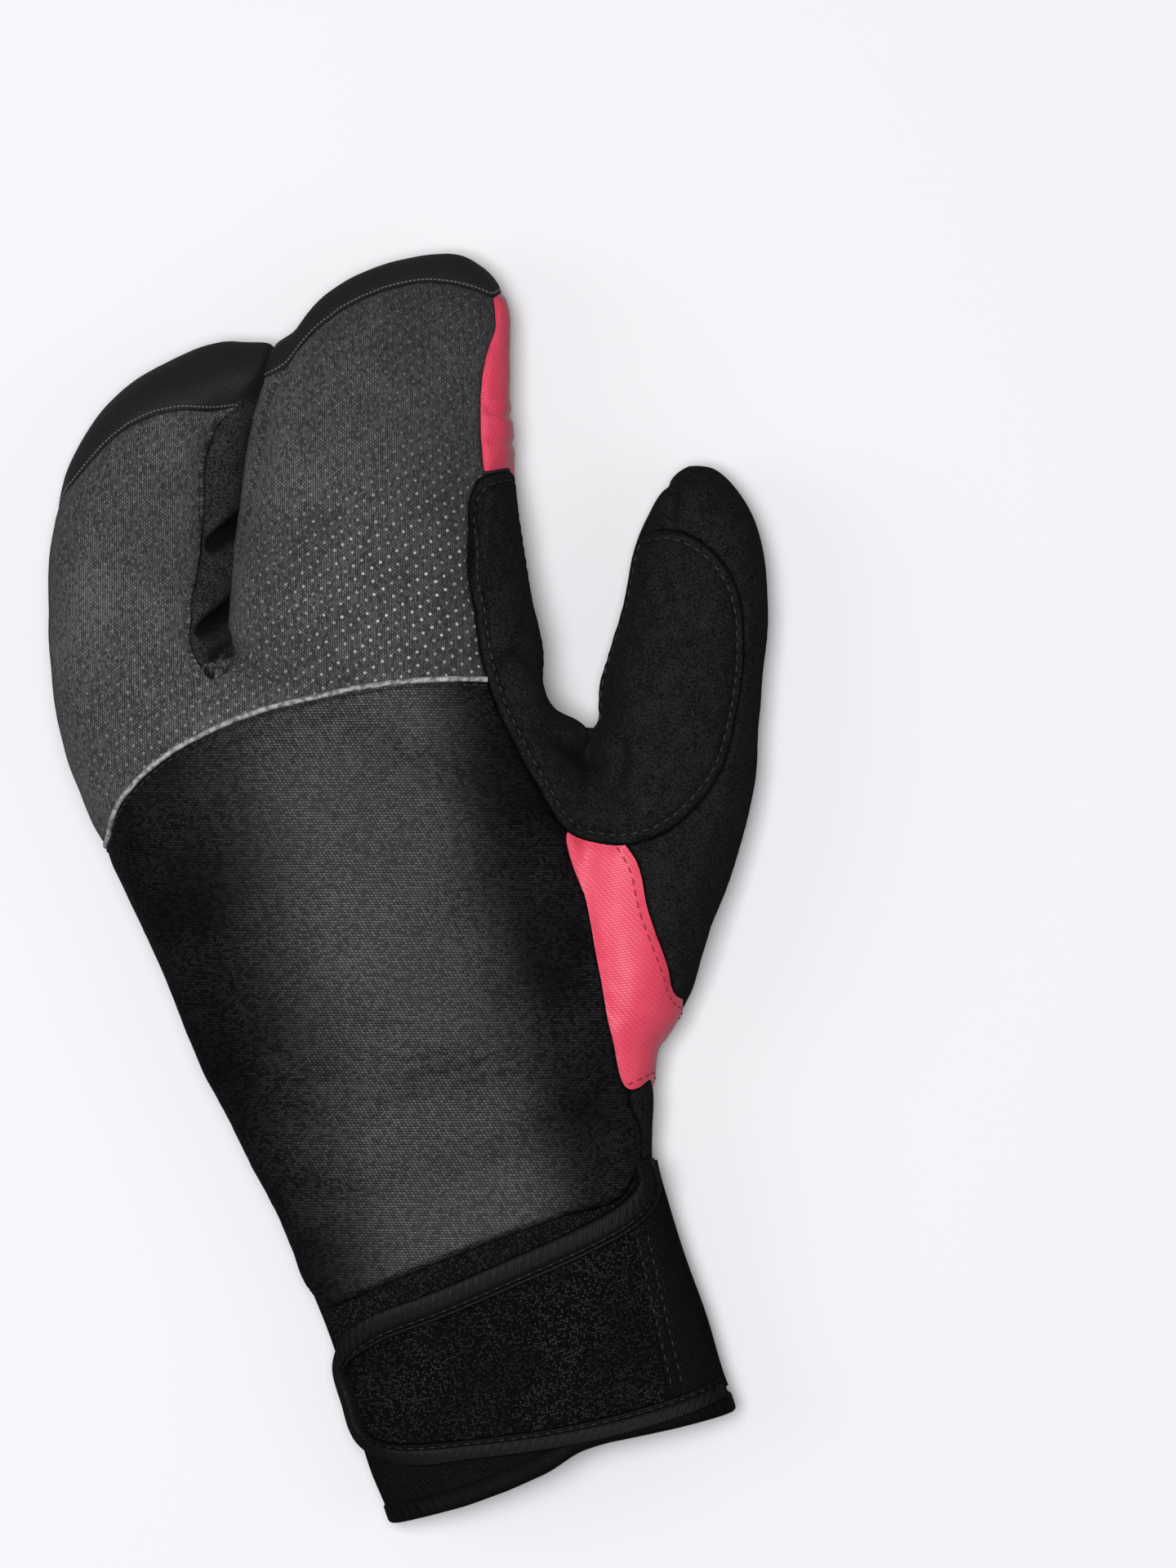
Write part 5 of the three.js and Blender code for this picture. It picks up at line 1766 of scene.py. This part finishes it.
# Across in shares of the palm's width from the wrist's middle, along in shares of the mitt's length
closure = {
    "thick": 1.9 * mm,
    "lift": 0.35 * mm,
    "foot": 0.19,
    "pile": [(0.254, 0.189), (0.089, 0.178), (-0.089, 0.167), (-0.268, 0.156), (-0.366, 0.147),
             (-0.415, 0.130), (-0.430, 0.107), (-0.415, 0.080), (-0.372, 0.061), (-0.268, 0.050),
             (-0.089, 0.045), (0.089, 0.042), (0.254, 0.044)],
    "root": [(0.262, 0.190), (0.290, 0.195), (0.326, 0.212), (0.336, 0.238), (0.450, 0.242),
             (0.450, 0.048), (0.262, 0.044)],
    "tape": [(0.330, 0.240), (0.318, 0.215), (0.268, 0.202), (0.178, 0.192), (0.000, 0.178),
             (-0.178, 0.165), (-0.330, 0.155), (-0.384, 0.142), (-0.408, 0.118), (-0.404, 0.090),
             (-0.372, 0.067), (-0.304, 0.054), (-0.180, 0.048), (0.000, 0.041), (0.180, 0.040),
             (0.300, 0.043), (0.374, 0.048)],
    "seams": (0.268, 0.290),
}


def cuffLayer(offset):
    rings = loftPoints(bodyRows[:8], "body", mitt["length"], 1.0 * mm, 200, offset)
    count, sides = rings.shape[:2]
    return meshObject("layer", rings.reshape(-1, 3), gridFaces(count, sides))


def makeStrap():
    pieces = []
    layer = cuffLayer(closure["lift"] + 0.3 * mm)
    foot = closure["foot"] * mitt["depth"]
    fields = []
    for key in ("pile", "root"):
        line = curveThrough([place(*p) for p in closure[key]]) if key == "pile" else corners(closure[key])
        fields.append(lambda p, line=line: np.minimum(insideBy(p[:, :2], line), p[:, 2] - foot))
    bm, owner = cutPanels(layer, fields)
    bm.verts.index_update()
    points = np.array([v.co[:] for v in bm.verts])
    for across in closure["seams"]:
        groove = np.exp(-((points[:, 0] - place(across, 0)[0]) / (0.75 * mm))**2)
        points[:, 2] -= 0.5 * mm * groove * (points[:, 2] > foot)
    faces = {1: [], 2: []}
    for f in bm.faces:
        if f[owner] in faces:
            faces[f[owner]].append([v.index for v in f.verts])
    bm.free()
    bpy.data.objects.remove(layer)
    for label, name, slot, node in ((1, "closure_pile", "loop_pile", "strap"),
                                    (2, "closure_root", "cuff_knit", "strap_root")):
        used = sorted({i for f in faces[label] for i in f})
        local = {i: k for k, i in enumerate(used)}
        obj = meshObject(name, points[used], [[local[i] for i in f] for f in faces[label]])
        flattenedUv(obj)
        applied(obj, "SOLIDIFY", thickness=closure["thick"], offset=1, use_rim=True)
        finishPiece(obj, materials[slot])
        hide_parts(node)
        pieces.append(obj)
    return pieces


def makeTape():
    line = curveThrough([place(*p) for p in closure["tape"]], 0.8 * mm)
    layer = cuffLayer(closure["lift"] + 0.3 * mm + 0.5 * closure["thick"])
    tree = BVHTree.FromPolygons([tuple(v.co) for v in layer.data.vertices],
                                [tuple(p.vertices) for p in layer.data.polygons])
    bpy.data.objects.remove(layer)
    spots = []
    for x, y in line:
        spot = tree.ray_cast(Vector((x, y, 0.1)), Vector((0, 0, -1)))[0]
        if spot is None:
            spot = tree.find_nearest(Vector((x, y, 0.5 * mitt["depth"])))[0]
        spots.append(spot[:])
    spots = evenly(spots, 0.8 * mm, 40)
    found = [tree.find_nearest(Vector(p)) for p in spots]
    spots = evenly([spot[:] for spot, _, _, _ in found], 0.8 * mm, 6)
    normals = np.array([tree.find_nearest(Vector(p))[1][:] for p in spots])
    if normals[:, 2].mean() < 0:
        normals = -normals
    # The upper end is tucked under the back panel's corner
    spots[:8] -= normals[:8] * np.linspace(2.2 * mm, 0, 8)[:, None]
    spots[-6:] -= normals[-6:] * np.linspace(0, 1.4 * mm, 6)[:, None]
    # Outer foot, flat band, groove for the stitches, round ridge, inner foot
    band = np.array([(3.3, -1.3), (3.42, 0.2), (3.3, 0.68), (2.95, 0.95), (1.5, 1.05), (0.0, 1.05),
                     (-1.0, 0.98), (-1.35, 0.75), (-1.5, 0.2), (-1.85, 0.2), (-2.0, 0.85), (-2.3, 1.25),
                     (-2.7, 1.28), (-3.0, 0.95), (-3.12, 0.2), (-3.0, -1.3)]) * mm
    bend = smoothStep(0.40, 0.47, np.linspace(0, 1, len(spots)))
    bend *= 1 - smoothStep(0.58, 0.66, np.linspace(0, 1, len(spots)))
    lower = smoothStep(0.60, 0.68, np.linspace(0, 1, len(spots)))
    widths = 1 - 0.35 * bend - 0.26 * lower
    obj = sweep("closure_tape", spots, normals, band, widths=widths)
    finishPiece(obj, materials["tape"], smooth=38)
    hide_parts("strap_tape_upper", "strap_tape_lower")
    along, up, side = crossNormals(spots, normals)
    width = widths[:, None]
    stitchRows("closure_stitches", [spots - side * 1.68 * mm * width + up * 0.30 * mm], "darkThread",
               0.8, onSkin=False)


strapPieces = makeStrap()
makeTape()


def makeStrapSeam():
    # The double seam where the pile meets the smooth root
    trees = [BVHTree.FromPolygons([tuple(v.co) for v in o.data.vertices],
                                  [tuple(p.vertices) for p in o.data.polygons]) for o in strapPieces]
    lines = []
    for across in closure["seams"]:
        line = []
        for along in np.linspace(0.058, 0.184, 30):
            x, y = place(across, along)
            hits = [tree.ray_cast(Vector((x, y, 0.1)), Vector((0, 0, -1)))[0] for tree in trees]
            hits = [hit for hit in hits if hit is not None]
            if hits:
                line.append(max(hits, key=lambda hit: hit.z)[:])
        lines.append(np.array(line))
    stitchRows("strap_seam_stitches", lines, "blackThread", 0.9, onSkin=False)


makeStrapSeam()


def makeCuffSeam():
    for name, shift in (("cuff_seam_left", -1.6 * mm), ("cuff_seam_right", 1.6 * mm)):
        x = mitt["wrist"][0] + 2 * mm + shift
        line = [(x, y) for y in np.linspace(place(0, 0.032)[1], place(0, 0.226)[1], 60)]
        spots, _ = dropped(line, fromTop=False)
        stitchRows(name, [spots], "darkThread", 0.8)


makeCuffSeam()
print("cuff and closure are ready")

# Rubber dots on the palm
grip = {"pitch": 6.4 * mm, "radius": 1.5 * mm, "height": 0.55 * mm,
        "middle": (-0.16, 0.46), "size": (30 * mm, 36 * mm)}


def makeGrip():
    bpy.ops.mesh.primitive_uv_sphere_add(segments=14, ring_count=6, radius=1)
    model = bpy.context.object
    shape = pointsOf(model)
    shapeFaces = [tuple(p.vertices) for p in model.data.polygons]
    bpy.data.objects.remove(model)
    cx, cy = place(*grip["middle"])
    points, faces = [], []
    rows = int(grip["size"][1] * 2 / (grip["pitch"] * 0.866)) + 1
    for r in range(rows):
        y = cy - grip["size"][1] + r * grip["pitch"] * 0.866
        for k in range(-8, 9):
            x = cx + (k + 0.5 * (r % 2)) * grip["pitch"]
            if ((x - cx) / grip["size"][0])**2 + ((y - cy) / grip["size"][1])**2 > 1:
                continue
            spots, normals = dropped([(x, y)], fromTop=False)
            if normals[0][2] > -0.75:
                continue
            up = Vector(normals[0])
            turn = np.array(up.to_track_quat("Z", "Y").to_matrix())
            size = np.array([grip["radius"], grip["radius"], grip["height"]])
            start = len(points) * len(shape)
            points.append((shape * size) @ turn.T + spots[0])
            faces += [tuple(i + start for i in f) for f in shapeFaces]
    points = np.vstack(points)
    points[:, 2] = np.maximum(points[:, 2], -0.1 * mm)
    obj = meshObject("palm_grip_dots", points, faces)
    finishPiece(obj, materials["grip"])


makeGrip()

bpy.data.objects.remove(skin)
bpy.ops.object.select_all(action="DESELECT")
